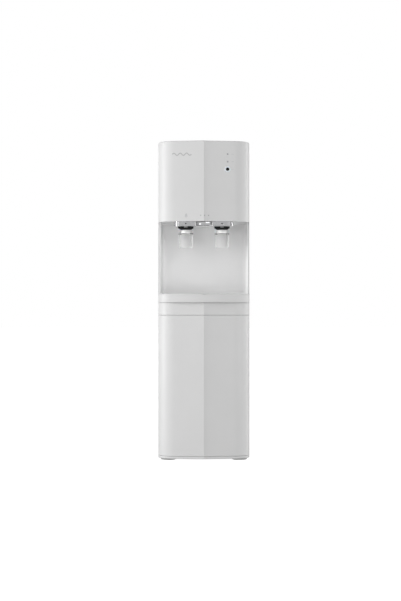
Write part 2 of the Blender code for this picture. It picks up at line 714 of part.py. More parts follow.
# ---- filters --------------------------------------------------------------------------------------
def make_filters():
    socket, neck = 0.0188, 0.0180
    manifold = box("filter_manifold", (-0.132, -0.138, 0.4563), (0.132, -0.072, 0.5147), liner_grey())
    add_bevel(manifold, 0.004)
    cut(manifold, *[rod(f"filter_socket_{i}", (x, FILTER_Y, 0.440), socket, 0.0355, liner_grey())
                    for i, x in enumerate(FILTER_X)])
    profile = [(0, 0.150), (0.026, 0.150), (0.031, 0.156), (0.031, 0.430), (0.026, 0.444), (neck, 0.447),
               (neck, 0.4750), (0, 0.4750)]
    for name, x in zip(("filter_sediment", "filter_carbon", "filter_membrane"), FILTER_X):
        cartridge = turned(name, profile, (x, FILTER_Y, 0), liner_grey(), steps=20)
        low, high = (x - 0.020, FILTER_Y - 0.003, 0.138), (x + 0.020, FILTER_Y + 0.003, 0.1505)
        grip = box(f"{name}_grip", low, high, liner_grey())
        join(cartridge, grip)
        hinge_origin(cartridge, (x, FILTER_Y, 0.150))


# ---- water and power at the back --------------------------------------------------------------------
def make_fitting(name, at):
    """A push-in tube fitting: nose with a bore, flange against the rear cover, barrel inside."""
    profile = [(0, 0.012), (0.0040, 0.012), (0.0040, 0), (0.0070, 0), (0.0070, 0.0085), (0.0110, 0.0085),
               (0.0110, 0.0117), (0.0078, 0.0117), (0.0078, 0.030), (0, 0.030)]
    turned(name, profile, (at[0], 0.1740, at[1]), liner_grey(), axis="Y", steps=16)


def make_rear_services():
    make_fitting("water_inlet_fitting", WATER_AT)
    make_fitting("drain_fitting", DRAIN_AT)
    x, z = INLET_AT
    inlet = box("power_inlet", (x - 0.0155, 0.142, z - 0.0115), (x + 0.0155, 0.1645, z + 0.0115),
                black_plastic())
    recess = box("inlet_recess", (x - 0.0120, 0.150, z - 0.0080), (x + 0.0120, 0.170, z + 0.0080),
                 black_plastic())
    cut(inlet, recess)

    pivot_y, tilt = 0.1570, radians(8)
    face = ((0.0085, 0.0095), (0.0065, 0.0), (0.0085, -0.0095), (-0.0060, -0.0060), (-0.0060, 0.0060))
    outline = [(pivot_y + a * cos(tilt) - b * sin(tilt), SWITCH_Z + a * sin(tilt) + b * cos(tilt))
               for a, b in face]
    for name, at in zip(("hot_switch", "cold_switch"), SWITCH_X):
        rocker = side_prism(name, outline, at - 0.0055, at + 0.0055, black_plastic())
        hinge_origin(rocker, (at, pivot_y, SWITCH_Z))


def make_feed():
    """Solenoid feed valve low at the back, and the tube that climbs from it to the cold tank's lid."""
    x, y, top = 0.135, 0.1435, 0.3000
    body = box("feed_valve", (0.094, 0.130, 0.270), (0.148, 0.1594, top), liner_grey())
    join(body, rod("feed_coil", (0.110, y, 0.290), 0.0125, 0.045, black_plastic()))
    start = top + GAP
    lid_top = 1.0320 + 0.0063 + GAP
    points = [Vector(p) for p in (
        (x, y, start), (x, y, 0.50), (x, y, 0.75), (x, y, 0.95), (0.131, 0.139, 1.03), (0.105, 0.110, 1.068),
        (0.070, 0.076, 1.072), (0.053, 0.060, 1.060), (0.050, 0.055, lid_top + 0.008), (0.050, 0.055, lid_top),
    )]
    tube("supply_tube", smooth_route(points, 4), 0.0032, milky_plastic(), resolution=1)


def make_control_board():
    board = box("control_board", (-0.135, 0.1500, 0.280), (-0.035, 0.1516, 0.420), circuit_board())
    parts = [box("transformer", (-0.125, 0.118, 0.295), (-0.085, 0.1505, 0.330), circuit_board()),
             box("relay", (-0.070, 0.132, 0.300), (-0.045, 0.1505, 0.318), circuit_board()),
             rod("capacitor", (-0.060, 0.1505, 0.375), 0.010, 0.022, circuit_board(), axis="Y")]
    posts = [rod(f"post_{i}", (x, 0.1595, z), 0.003, 0.009, circuit_board(), axis="Y", steps=8)
             for i, (x, z) in enumerate(((-0.128, 0.287), (-0.042, 0.287), (-0.128, 0.413), (-0.042, 0.413)))]
    join(board, *parts, *posts)


def build():
    for old in list(bpy.data.objects):
        bpy.data.objects.remove(old, do_unlink=True)
    make_base()
    make_side_panels()
    make_front_covers()
    make_top_cover()
    make_rear_cover()
    make_niche()
    make_shelves()
    make_drip_tray()
    make_console()
    make_tap("hot", -TAP_X)
    make_tap("cold", TAP_X)
    make_lights()
    make_cold_tank()
    make_hot_tank()
    make_cooling()
    make_filters()
    make_rear_services()
    make_feed()
    make_control_board()


build()
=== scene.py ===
"""Looks for the floor-standing water dispenser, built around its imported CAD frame.

Metres, +Z up, front towards -Y, in the frame's own coordinates. Fine meshes stand for the visible CAD
nodes; the rest keep their CAD shape with softened edges. Every finish is procedural.
"""

import json
from math import atan, atan2, cos, exp, pi, radians, sin, sqrt, tan

import bmesh
import bpy
from mathutils import Matrix, Vector


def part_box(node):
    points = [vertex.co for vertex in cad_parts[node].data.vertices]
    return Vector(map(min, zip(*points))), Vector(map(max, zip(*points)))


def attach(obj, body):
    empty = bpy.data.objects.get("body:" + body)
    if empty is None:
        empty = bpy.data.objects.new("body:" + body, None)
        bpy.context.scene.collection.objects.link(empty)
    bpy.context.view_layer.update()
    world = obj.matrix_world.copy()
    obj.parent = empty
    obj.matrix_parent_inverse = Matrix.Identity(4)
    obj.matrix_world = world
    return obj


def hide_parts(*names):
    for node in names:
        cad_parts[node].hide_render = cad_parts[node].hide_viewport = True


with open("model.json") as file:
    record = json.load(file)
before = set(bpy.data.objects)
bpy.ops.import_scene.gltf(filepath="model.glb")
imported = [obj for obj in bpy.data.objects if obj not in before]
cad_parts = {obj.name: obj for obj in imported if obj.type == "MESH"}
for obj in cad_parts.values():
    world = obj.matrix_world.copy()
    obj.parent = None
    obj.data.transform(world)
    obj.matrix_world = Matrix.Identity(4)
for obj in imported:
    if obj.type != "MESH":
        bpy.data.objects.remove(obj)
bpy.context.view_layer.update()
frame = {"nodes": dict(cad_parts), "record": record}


# ---- driving dimensions, read from the frame where it has them ----
def low(node):
    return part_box(node)[0]


def high(node):
    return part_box(node)[1]


def middle(node):
    return (low(node) + high(node)) / 2


HALF = high("side_panel_right").x
HEIGHT = high("top_cover").z
WALL = 0.0030
SEAM = 0.0010
GAP = 0.0003
CREST_Y = low("lower_front_cover").y
LEDGE_FRONT = low("drip_tray").y
FACET = tan(radians(6.5))      # how fast each half of the front falls back
CORNER_ACROSS, CORNER_ALONG = 0.066, 0.050     # half axes of the upright front corners
SIDE_FRONT_Y = -0.110
PANEL_REAR_Y = high("side_panel_right").y
REAR_RADIUS = 0.012
FOOT_HEIGHT = low("base_plate").z
BASE_TOP = high("base_plate").z
LOWER_TOP = high("lower_front_cover").z
STRIP_TOP = high("front_strip").z
LEDGE_TOP = high("drip_tray").z
CEILING = low("upper_front_cover").z
SIDE_TOP = high("side_panel_right").z
NICHE_HALF_FRONT, NICHE_HALF_BACK = 0.152, 0.147
TAP_X, TAP_Y = 0.0625, -0.125
PIVOT_Z = 0.798
CONSOLE_BOTTOM = low("tap_console").z
CONSOLE_HALF = high("chrome_trim_right").x
CONSOLE_FRONT = low("chrome_trim_right").y


# ---- shader nodes ----
def feed(tree, socket, value):
    """Sets a socket to a plain value, or links it to another node's output."""
    if isinstance(value, bpy.types.NodeSocket):
        tree.links.new(value, socket)
    else:
        socket.default_value = value


def add_node(tree, kind, output, inputs=None, **settings):
    """One output of a new node; its inputs are fed by name or by number."""
    node = tree.nodes.new("ShaderNode" + kind)
    for setting, value in settings.items():
        setattr(node, setting, value)
    for socket, value in (inputs or {}).items():
        feed(tree, node.inputs[socket], value)
    return node.outputs[output]


def span(tree, source, low_in, high_in, low_out, high_out):
    """The source, carried from one range to another."""
    return add_node(tree, "MapRange", "Result", {"Value": source, "From Min": low_in, "From Max": high_in,
                                                 "To Min": low_out, "To Max": high_out})


def maths(tree, operation, first, second):
    return add_node(tree, "Math", "Value", {0: first, 1: second}, operation=operation)


FINISHES = {}      # every material, by name


class Finish:
    """A material: one Principled shader fed by procedural textures."""

    def __init__(self, name, roughness, metallic=0.0, **sockets):
        FINISHES[name] = bpy.data.materials.new(name)
        FINISHES[name].use_nodes = True
        self.tree = FINISHES[name].node_tree
        self.inputs = self.tree.nodes["Principled BSDF"].inputs
        for socket, value in {"roughness": roughness, "metallic": metallic, **sockets}.items():
            self.feed(socket.replace("_", " ").title().replace("Ior", "IOR"), value)
        self.place = add_node(self.tree, "TexCoord", "Object")

    def feed(self, socket, value):
        feed(self.tree, self.inputs[socket], value)

    def stretched(self, scale):
        """The object's coordinates, scaled by a different amount along each axis."""
        return add_node(self.tree, "Mapping", "Vector", {"Scale": scale, "Vector": self.place})

    def noise(self, scale, detail=3.0, place=None, distortion=0.0):
        inputs = {"Vector": place or self.place, "Scale": scale, "Detail": detail, "Distortion": distortion}
        return add_node(self.tree, "TexNoise", "Fac", inputs)

    def cells(self, scale, feature="F1", output="Distance"):
        inputs = {"Vector": self.place, "Scale": scale}
        return add_node(self.tree, "TexVoronoi", output, inputs, feature=feature)

    def colour(self, source, *stops):
        """Base colour from a ramp of (position, colour) stops."""
        ramp = self.tree.nodes.new("ShaderNodeValToRGB")
        elements = ramp.color_ramp.elements
        while len(elements) < len(stops):
            elements.new(0.5)
        for element, (position, colour) in zip(elements, stops):
            element.position = position
            element.color = (*colour, 1.0)
        feed(self.tree, ramp.inputs["Fac"], source)
        self.feed("Base Color", ramp.outputs["Color"])

    def rough(self, source, smooth, dull):
        self.feed("Roughness", span(self.tree, source, 0.3, 0.7, smooth, dull))

    def bump(self, source, height, strength=1.0):
        inputs = {"Distance": height, "Strength": strength, "Height": source}
        self.feed("Normal", add_node(self.tree, "Bump", "Normal", inputs))


# ---- finishes, one for each slot of the record and a few for what the CAD leaves out ----
def shades(colour, spread):
    """The colour a little darker and a little lighter."""
    return [tuple(min(1.0, c * (1 + side * spread)) for c in colour) for side in (-1, 1)]


def moulded(name, colour, roughness, spread=0.015, grain=0.00001, grain_scale=1400, **sockets):
    """Injection-moulded plastic: faint cloudy tone, slightly uneven gloss, fine grain."""
    made = Finish(name, roughness, **sockets)
    dark, light = shades(colour, spread)
    made.colour(made.noise(9, 4), (0.30, dark), (0.70, light))
    made.rough(made.noise(28, 3), roughness - 0.03, roughness + 0.04)
    made.bump(made.noise(grain_scale, 2), grain)


def cabinet_white():
    moulded("cabinet_white", (0.61, 0.61, 0.61), 0.46, coat_weight=0.05, coat_roughness=0.25,
            specular_ior_level=0.35)


def liner_white():
    moulded("liner_white", (0.88, 0.88, 0.88), 0.48, grain=0.00002, grain_scale=900)


def chrome():
    made = Finish("chrome", 0.10, metallic=1.0)
    smudge = made.noise(60, 5, distortion=0.6)
    made.colour(smudge, (0.35, (0.44, 0.44, 0.45)), (0.65, (0.50, 0.50, 0.51)))
    made.rough(smudge, 0.10, 0.20)


def stainless():
    """Brushed steel, its fine lines running along X."""
    made = Finish("stainless", 0.30, metallic=1.0)
    lines = made.noise(1, 4, made.stretched((20, 900, 900)))
    dark, light = shades((0.76, 0.76, 0.76), 0.05)
    made.colour(lines, (0.25, dark), (0.75, light))
    made.rough(lines, 0.24, 0.38)
    made.bump(lines, 0.00002)


def zinc_sheet():
    """Galvanised sheet: large crystals, each of its own tone, and dull patches."""
    made = Finish("zinc_sheet", 0.42, metallic=0.9)
    crystal = made.cells(95, output="Color")
    clouds = maths(made.tree, "MULTIPLY", made.noise(14, 4), 0.35)
    tone = maths(made.tree, "ADD", crystal, clouds)
    made.colour(tone, (0.20, (0.46, 0.48, 0.49)), (0.75, (0.56, 0.58, 0.59)), (1.0, (0.63, 0.65, 0.66)))
    made.rough(crystal, 0.34, 0.52)
    made.bump(made.noise(350, 3), 0.00002)


def copper():
    made = Finish("copper", 0.30, metallic=1.0)
    stain = made.noise(55, 5, distortion=0.8)
    made.colour(stain, (0.30, (0.50, 0.26, 0.15)), (0.50, (0.72, 0.42, 0.27)), (0.75, (0.80, 0.50, 0.34)))
    made.rough(stain, 0.48, 0.24)
    made.bump(made.noise(900, 2), 0.00001)


def black_plastic():
    moulded("black_plastic", (0.008, 0.008, 0.009), 0.50, spread=0.12, grain=0.00003, grain_scale=1100,
            specular_ior_level=0.15)


def black_paint():
    """Stoved paint with a slight orange peel and a little dust."""
    made = Finish("black_paint", 0.38, coat_weight=0.2, coat_roughness=0.25)
    dust = made.noise(40, 6)
    made.colour(dust, (0.40, (0.018, 0.018, 0.019)), (0.80, (0.050, 0.049, 0.047)))
    made.rough(dust, 0.32, 0.55)
    made.bump(made.noise(420, 2), 0.00006)


def clear_plastic():
    """Slightly clouded acrylic with faint flow marks and fine scuffs."""
    made = Finish("clear_plastic", 0.18, transmission_weight=0.30, ior=1.46)
    scuff = made.noise(220, 5, made.stretched((1, 1, 0.3)))
    made.colour(scuff, (0.35, (0.95, 0.95, 0.95)), (0.70, (0.98, 0.98, 0.98)))
    made.rough(scuff, 0.08, 0.18)
    made.bump(made.noise(70, 2), 0.00008)


def grey_rubber():
    moulded("grey_rubber", (0.38, 0.38, 0.38), 0.78, spread=0.08, grain=0.00008, grain_scale=700)


def foam():
    """Expanded bead foam: round cells a few millimetres wide with shaded joints."""
    made = Finish("foam", 0.90)
    bead = made.cells(260)
    made.colour(bead, (0.0, (0.90, 0.90, 0.88)), (0.55, (0.84, 0.84, 0.82)), (0.90, (0.66, 0.66, 0.63)))
    made.rough(made.noise(30, 3), 0.84, 0.96)
    made.bump(bead, -0.0006)


def circuit_board():
    """Green solder mask with paler tracks and bright pads."""
    made = Finish("circuit_board", 0.42, coat_weight=0.4, coat_roughness=0.2)
    tracks = made.cells(210, feature="DISTANCE_TO_EDGE")
    made.colour(tracks, (0.0, (0.10, 0.42, 0.16)), (0.08, (0.05, 0.30, 0.10)), (0.12, (0.02, 0.15, 0.06)))
    made.rough(made.noise(120, 3), 0.30, 0.50)
    made.bump(tracks, -0.00005)


def light_lens():
    moulded("light_lens", (0.33, 0.34, 0.35), 0.18, spread=0.05, coat_weight=0.6, coat_roughness=0.05)


def milky_plastic():
    moulded("milky_plastic", (0.76, 0.78, 0.78), 0.38, spread=0.03, subsurface_weight=0.15)


def screw_steel():
    """Plated steel of the screws, worn brighter in places."""
    made = Finish("screw_steel", 0.34, metallic=1.0)
    wear = made.noise(500, 4)
    made.colour(wear, (0.35, (0.30, 0.30, 0.31)), (0.65, (0.55, 0.55, 0.56)))
    made.rough(wear, 0.24, 0.46)


def studio_paper():
    """Grey paper that glows almost white, so that hardly a shadow shows on it."""
    made = Finish("studio_paper", 0.92, emission_color=(1.0, 1.0, 1.0, 1.0), emission_strength=0.97)
    made.colour(made.noise(0.8, 3), (0.30, (0.14, 0.14, 0.14)), (0.70, (0.16, 0.16, 0.16)))
    made.bump(made.noise(220, 3), 0.0001, 0.3)


for make_finish in (
    cabinet_white, liner_white, chrome, stainless, zinc_sheet, copper, black_plastic, black_paint,
    clear_plastic, grey_rubber, foam, circuit_board, light_lens, milky_plastic, screw_steel, studio_paper,
):
    make_finish()

PRINTS = {
    "print_grey": (0.42, 0.43, 0.44), "badge_grey": (0.34, 0.34, 0.35),
    "hot_dot": (0.62, 0.05, 0.04), "cold_dot": (0.04, 0.17, 0.55),
    "band_blue": (0.10, 0.30, 0.55), "band_grey": (0.20, 0.21, 0.22), "band_teal": (0.08, 0.42, 0.42),
}
for print_name, print_colour in PRINTS.items():
    moulded(print_name, print_colour, 0.48, spread=0.05)


# ---- mesh builders: each add_ function puts one shape into a bmesh ----
def mesh_object(name, bm, sharp_angle=35.0):
    bmesh.ops.recalc_face_normals(bm, faces=bm.faces)
    mesh = bpy.data.meshes.new(name)
    bm.to_mesh(mesh)
    bm.free()
    mesh.shade_smooth()
    mesh.set_sharp_from_angle(angle=radians(sharp_angle))
    made = bpy.data.objects.new(name, mesh)
    bpy.context.collection.objects.link(made)
    return made


def build(name, add, places, sharp_angle=35.0):
    """One object from one add_ function, run with each set of arguments."""
    bm = bmesh.new()
    for place in places:
        add(bm, *place)
    return mesh_object(name, bm, sharp_angle)


def add_loft(bm, rings, closed=False):
    """Closed rings joined in order; flat caps at both ends, or the last ring joined to the first."""
    rows = [[bm.verts.new(point) for point in ring] for ring in rings]
    pairs = list(zip(rows, rows[1:])) + ([(rows[-1], rows[0])] if closed else [])
    for lower, upper in pairs:
        for i in range(len(lower)):
            j = (i + 1) % len(lower)
            bm.faces.new((lower[i], lower[j], upper[j], upper[i]))
    if not closed:
        bm.faces.new(rows[0])
        bm.faces.new(rows[-1])


def add_prism(bm, outline, start, stop, along="Z"):
    """An outline pulled along one axis; its points give the other two axes in the order of XYZ."""
    axis = "XYZ".index(along)
    add_loft(bm, [[(*point[:axis], place, *point[axis:]) for point in outline] for place in (start, stop)])


def add_box(bm, corner, opposite):
    (x0, y0, z0), (x1, y1, z1) = corner, opposite
    add_prism(bm, [(x0, y0), (x1, y0), (x1, y1), (x0, y1)], z0, z1)


AXES = {"X": Matrix.Rotation(pi / 2, 4, "Y"), "Y": Matrix.Rotation(pi / 2, 4, "X"), "Z": Matrix.Identity(4)}


def add_turned(bm, profile, centre, axis="Z", steps=48):
    """A (radius, height) profile turned about an axis; height runs along +Z, +X or, for Y, to the front."""
    place = Matrix.Translation(centre) @ AXES[axis]
    poles = {i: bm.verts.new(place @ Vector((0, 0, h))) for i, (r, h) in enumerate(profile) if r == 0}
    columns = []
    for step in range(steps):
        angle = 2 * pi * step / steps
        columns.append([
            poles[i] if r == 0 else bm.verts.new(place @ Vector((r * cos(angle), r * sin(angle), h)))
            for i, (r, h) in enumerate(profile)
        ])
    spans = [(i, i + 1) for i in range(len(profile) - 1)]
    if len(poles) < 2:
        spans.append((len(profile) - 1, 0))
    for here, there in zip(columns, columns[1:] + columns[:1]):
        for a, b in spans:
            corners = list(dict.fromkeys((here[a], there[a], there[b], here[b])))
            if len(corners) > 2:
                bm.faces.new(corners)


def add_rod(bm, centre, radius, length, axis="Z", steps=32):
    add_turned(bm, [(0, 0), (radius, 0), (radius, length), (0, length)], centre, axis, steps)


def add_tube(bm, points, radius, steps=16, closed=False):
    """A round tube along points, its rings turned as little as possible from one to the next."""
    count = len(points)
    side = None
    rings = []
    for i, point in enumerate(points):
        before = points[i - 1] if i or closed else point
        after = points[(i + 1) % count] if i < count - 1 or closed else point
        along = (after - before).normalized()
        if side is None:
            side = along.orthogonal().normalized()
        side = (side - along * side.dot(along)).normalized()
        other = along.cross(side)
        rings.append([point + radius * (cos(t) * side + sin(t) * other)
                      for t in (2 * pi * step / steps for step in range(steps))])
    add_loft(bm, rings, closed)


def loft(name, rings, sharp_angle=35.0):
    return build(name, add_loft, [(rings,)], sharp_angle)


def prism(name, outline, start, stop, along="Z", sharp_angle=35.0):
    return build(name, add_prism, [(outline, start, stop, along)], sharp_angle)


def box(name, corner, opposite):
    return build(name, add_box, [(corner, opposite)])


def turned(name, profile, centre, axis="Z", steps=48):
    return build(name, add_turned, [(profile, centre, axis, steps)])


def tube(name, points, radius, steps=16):
    return build(name, add_tube, [(points, radius, steps)], 60.0)


def smooth_route(points, steps=6):
    """Points read from a Catmull-Rom curve through the given points."""
    ends = [points[0] * 2 - points[1], *points, points[-1] * 2 - points[-2]]
    route = []
    for a, b, c, d in zip(ends, ends[1:], ends[2:], ends[3:]):
        for step in range(steps):
            t = step / steps
            route.append(0.5 * ((2 * b) + (c - a) * t + (2 * a - 5 * b + 4 * c - d) * t * t
                                + (3 * b - a - 3 * c + d) * t * t * t))
    return [*route, points[-1]]


def combined(made, others, operation="UNION"):
    """The shape with others added to it or cut from it, as one plain mesh."""
    for other in others:
        modifier = made.modifiers.new(other.name, "BOOLEAN")
        modifier.operation = operation
        modifier.solver = "MANIFOLD"
        modifier.object = other
    bpy.context.view_layer.update()
    shaped = bpy.data.meshes.new_from_object(made.evaluated_get(bpy.context.evaluated_depsgraph_get()))
    made.modifiers.clear()
    made.data = shaped
    for other in others:
        bpy.data.objects.remove(other)
    return made


def carve(made, *cutters):
    return combined(made, cutters, "DIFFERENCE")


def soften(made, width, segments=2, angle=40.0):
    """Rounds the sharp edges and keeps the flats flat."""
    modifier = made.modifiers.new("Bevel", "BEVEL")
    modifier.width = width
    modifier.segments = segments
    modifier.limit_method = "ANGLE"
    modifier.angle_limit = radians(angle)
    modifier.harden_normals = True
    return made


SLOT_OF = {row["node"]: row["material_slot"] for row in frame["record"]["subparts"]}
STOOD_FOR = set()      # CAD nodes hidden behind a finer piece


def finished(made, finish, body="cabinet"):
    """Gives the piece its finish and the body that it rides on."""
    made.data.materials.clear()
    made.data.materials.append(FINISHES[finish])
    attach(made, body)


def stand_in(made, node, body="cabinet", finish=None):
    """Puts the piece in a CAD node's place, with that node's finish unless another is named."""
    finished(made, finish or SLOT_OF[node], body)
    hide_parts(node)
    STOOD_FOR.add(node)


# ---- plan outlines, each from the left end round the front to the right end unless it says so ----
def arc(centre, radius, start, stop, steps):
    """Points on an arc in the plane, both ends included."""
    turn = [start + (stop - start) * i / steps for i in range(steps + 1)]
    return [(centre[0] + radius * cos(t), centre[1] + radius * sin(t)) for t in turn]


def with_left(right):
    """The right half's points, then their mirror image back to the start."""
    return right + [(-x, y) for x, y in reversed(right)]


CORNER_STEPS = 24
HOLLOW, HOLLOW_REACH = 0.22, 0.012     # the right half falls away faster beside the crease


def corner_from(surface, inset):
    """An elliptical corner tangent to a front surface at one side, and the x where it starts."""
    start = HALF - CORNER_ACROSS
    for _ in range(4):
        lean = atan(CORNER_ACROSS / CORNER_ALONG * surface(start)[1])
        start = HALF - CORNER_ACROSS * (1 - sin(lean))
    centre_y = surface(start)[0] + CORNER_ALONG * cos(lean)
    turn = [lean - pi / 2 + (pi / 2 - lean) * i / CORNER_STEPS for i in range(CORNER_STEPS + 1)]
    return start, [(HALF - CORNER_ACROSS + (CORNER_ACROSS - inset) * cos(t),
                    centre_y + (CORNER_ALONG - inset) * sin(t)) for t in turn]


def crease_surface(side):
    """Y and slope of one half of the creased front, by distance from the crease."""
    def surface(x):
        hollow = HOLLOW * exp(-x / HOLLOW_REACH) if side > 0 else 0.0
        fallen = HOLLOW_REACH * (HOLLOW - hollow) if side > 0 else 0.0
        return CREST_Y + FACET * x + fallen, FACET + hollow

    return surface


def bow_surface(x):
    """Y and slope of the ledge's bow."""
    sag, half_chord = 0.013, 0.1125
    bow = (half_chord**2 + sag**2) / (2 * sag)
    along = sqrt(bow * bow - x * x)
    return LEDGE_FRONT + bow - along, x / along


def front_half(surface, inset, end, gathering):
    """One half of a front, as distances from the centre plane: surface, corner, straight side."""
    start, corner = corner_from(surface, inset)
    steps = 16
    points = []
    for i in range(1, steps):
        x = start * (i / steps) ** gathering
        y, slope = surface(x)
        lean = sqrt(1 + slope * slope)
        points.append((x - inset * slope / lean, y + inset / lean))
    return [*points, *corner, (HALF - inset, end)]


def front_at(x):
    """Y of the creased front at x."""
    return crease_surface(1 if x > 0 else -1)(abs(x))[0]


def creased_outline(inset=0.0, end=SIDE_FRONT_Y):
    """Two facets that meet in the crease, round corners, straight sides back to `end`."""
    left = front_half(crease_surface(-1), inset, end, 1.5)
    right = front_half(crease_surface(1), inset, end, 1.5)
    return [(-x, y) for x, y in left[::-1]] + [(0, CREST_Y + inset / cos(atan(FACET)))] + right


def bowed_outline(inset=0.0):
    """The ledge's plan: one wide bow, round corners, straight sides."""
    right = front_half(bow_surface, inset, SIDE_FRONT_Y, 1.0)
    return [(-x, y) for x, y in right[::-1]] + [(0, LEDGE_FRONT + inset)] + right


def rear_corner(inset=0.0, steps=10):
    """The round rear corner on the right."""
    return arc((HALF - REAR_RADIUS, PANEL_REAR_Y - REAR_RADIUS), REAR_RADIUS - inset, 0, pi / 2, steps)


def rounded_box(x0, y0, x1, y1, radius, steps=8):
    """A rectangle with four round corners, from the front right one round to the left."""
    corners = ((x1 - radius, y0 + radius, -pi / 2), (x1 - radius, y1 - radius, 0),
               (x0 + radius, y1 - radius, pi / 2), (x0 + radius, y0 + radius, pi))
    return [p for x, y, t in corners for p in arc((x, y), radius, t, t + pi / 2, steps)]


def niche_outline(inset=0.0, front=SIDE_FRONT_Y + SEAM / 2):
    """The niche from its right front: walls that close in a little towards round back corners."""
    radius = 0.012
    corner = arc((NICHE_HALF_BACK - radius, -radius), radius - inset, 0, pi / 2, 12)
    return with_left([(NICHE_HALF_FRONT - inset, front), *corner])


def console_outline(inset=0.0, start=0.0, end=-0.100):
    """Right half of the tap console's plan: flat front, round corner, straight side."""
    radius = 0.016
    corner = arc((CONSOLE_HALF - radius, CONSOLE_FRONT + radius), radius - inset, -pi / 2, 0, 16)
    return [(start, CONSOLE_FRONT + inset), *corner, (CONSOLE_HALF - inset, end)]


def rounded_rings(outline, bottom, top, top_round=0.0, bottom_round=0.0, steps=8):
    """Rings of one outline with quarter-round edges at its top and bottom."""
    levels = []
    for end, radius, inwards in ((bottom, bottom_round, 1), (top, top_round, -1)):
        turns = [pi / 2 * i / steps for i in range(steps + 1)][::-inwards] if radius else [pi / 2]
        levels += [(end + inwards * radius * (1 - sin(t)), radius * (1 - cos(t))) for t in turns]
    return [[(x, y, z) for x, y in outline(inset)] for z, inset in levels]


# ---- cabinet ----
CRISP = 8.0      # edges sharper than this many degrees stay crisp on the creased covers
STATUS_X, STATUS_Z = 0.082, (1.028, 1.054)
SENSOR_Z = 1.002
MODE_X, MODE_Z = (-0.011, 0.0025, 0.016), 0.842
STATUS_RADIUS, MODE_RADIUS, SENSOR_RADIUS = 0.0025, 0.0016, 0.0055


def make_upper_cover():
    """Hollow from behind, with a hole for each light and for the sensor."""
    rings = rounded_rings(creased_outline, CEILING, HEIGHT, top_round=0.0035, steps=12)
    cover = loft("upper_cover", rings, CRISP)
    hollow = prism("hollow", creased_outline(WALL, SIDE_FRONT_Y + 0.02), CEILING - 0.02, HEIGHT - WALL)
    clearance, behind, run = 0.0003, -0.140, 0.045
    places = [(STATUS_X, z, STATUS_RADIUS) for z in STATUS_Z] + [(STATUS_X, SENSOR_Z, SENSOR_RADIUS)]
    places += [(x, MODE_Z, MODE_RADIUS) for x in MODE_X]
    carve(cover, hollow, build("holes", add_rod, [((x, behind, z), radius + clearance, run, "Y")
                                                  for x, z, radius in places]))
    cover.data.set_sharp_from_angle(angle=radians(CRISP))
    stand_in(soften(cover, 0.0004), "upper_front_cover")


def make_cover_shell(name, bottom, top, body, node):
    outline = creased_outline() + creased_outline(WALL)[::-1]
    shell = prism(name, outline, bottom, top, sharp_angle=CRISP)
    stand_in(soften(shell, 0.0003), node, body)


def make_lower_cover_ribs():
    """Inside the lower cover: upright ribs and four clips, seen when it is pulled off."""
    bm = bmesh.new()
    depth, thickness = 0.006, 0.0018
    bottom, top = BASE_TOP + 0.020, LOWER_TOP - 0.015
    for x in (-0.10, -0.05, 0.05, 0.10):
        y = front_at(x) + WALL - 0.0004
        add_box(bm, (x - thickness / 2, y, bottom), (x + thickness / 2, y + depth, top))
    outer, inner = HALF - WALL - 0.0006, HALF - WALL - 0.0044
    for side in (-1, 1):
        for z in (0.080, 0.430):
            x0, x1 = sorted((side * inner, side * outer))
            add_box(bm, (x0, SIDE_FRONT_Y - 0.007, z - 0.010), (x1, SIDE_FRONT_Y - 0.0005, z + 0.010))
    finished(soften(mesh_object("lower_cover_ribs", bm), 0.0004), "cabinet_white", "lower_front_cover")


def make_base():
    def plan(inset):
        return creased_outline(inset) + with_left(rear_corner(inset))

    pan = loft("base_pan", rounded_rings(plan, FOOT_HEIGHT, BASE_TOP, 0.0006, 0.0022), 30.0)
    stand_in(pan, "base_plate")
    edge, groove = 0.0022, 0.0004
    for place in ("front_left", "front_right", "rear_left", "rear_right"):
        node = f"foot_{place}"
        centre, radius, top = middle(node), (high(node).x - low(node).x) / 2, high(node).z
        tread = [(radius * r, groove * (i % 2)) for i, r in enumerate((0.30, 0.34, 0.50, 0.54, 0.70, 0.74))]
        lip = arc((radius - edge, edge), edge, -pi / 2, 0, 8)
        profile = [(0, groove), *tread, *lip, (radius, top), (0, top)]
        foot = turned(f"foot_pad_{place}", profile, (centre.x, centre.y, 0), steps=64)
        stand_in(foot, node)


def make_side_panels():
    """Each panel wraps the rear corner and ends in a short return."""
    thickness, return_end = 0.0025, 0.125

    def plan(inset):
        front, end = (HALF - inset, SIDE_FRONT_Y + SEAM / 2), (return_end, PANEL_REAR_Y - inset)
        return [front, *rear_corner(inset, 14), end]

    section = plan(0.0) + plan(thickness)[::-1]
    for name, side in (("left", -1), ("right", 1)):
        panel = prism(f"side_shell_{name}", [(side * x, y) for x, y in section], BASE_TOP + SEAM, SIDE_TOP)
        stand_in(soften(panel, 0.0006), f"side_panel_{name}")


def make_top_cover():
    def plan(inset):
        front = SIDE_FRONT_Y + SEAM / 2
        return [(-(HALF - inset), front), (HALF - inset, front), *with_left(rear_corner(inset))]

    lid = loft("top_lid", rounded_rings(plan, SIDE_TOP + 0.0005, HEIGHT, 0.0035, 0.0004, 12), 30.0)
    stand_in(lid, "top_cover")


def make_niche():
    """One moulding: walls, floor and ceiling, with a bore over each tap."""
    wall = 0.0025
    walls = niche_outline()
    half = high("niche_liner").x
    outer = [(half, walls[0][1]), (half, wall), (-half, wall), (-half, walls[0][1])]
    liner = prism("niche_moulding", walls + outer[::-1], STRIP_TOP - 0.0001, CEILING + 0.0001)
    floor = prism("floor", outer, STRIP_TOP - wall, STRIP_TOP)
    ceiling = prism("ceiling", creased_outline(WALL + GAP, wall), CEILING, CEILING + wall)
    combined(liner, [floor, ceiling])
    carve(liner, tap_bores(CEILING - 0.01, 0.02))
    stand_in(soften(liner, 0.0006), "niche_liner")


def tap_bores(bottom, length):
    """Cutters for the two holes that the tap valves stand in."""
    return build("bores", add_rod, [((x, TAP_Y, bottom), 0.0130, length) for x in (-TAP_X, TAP_X)])


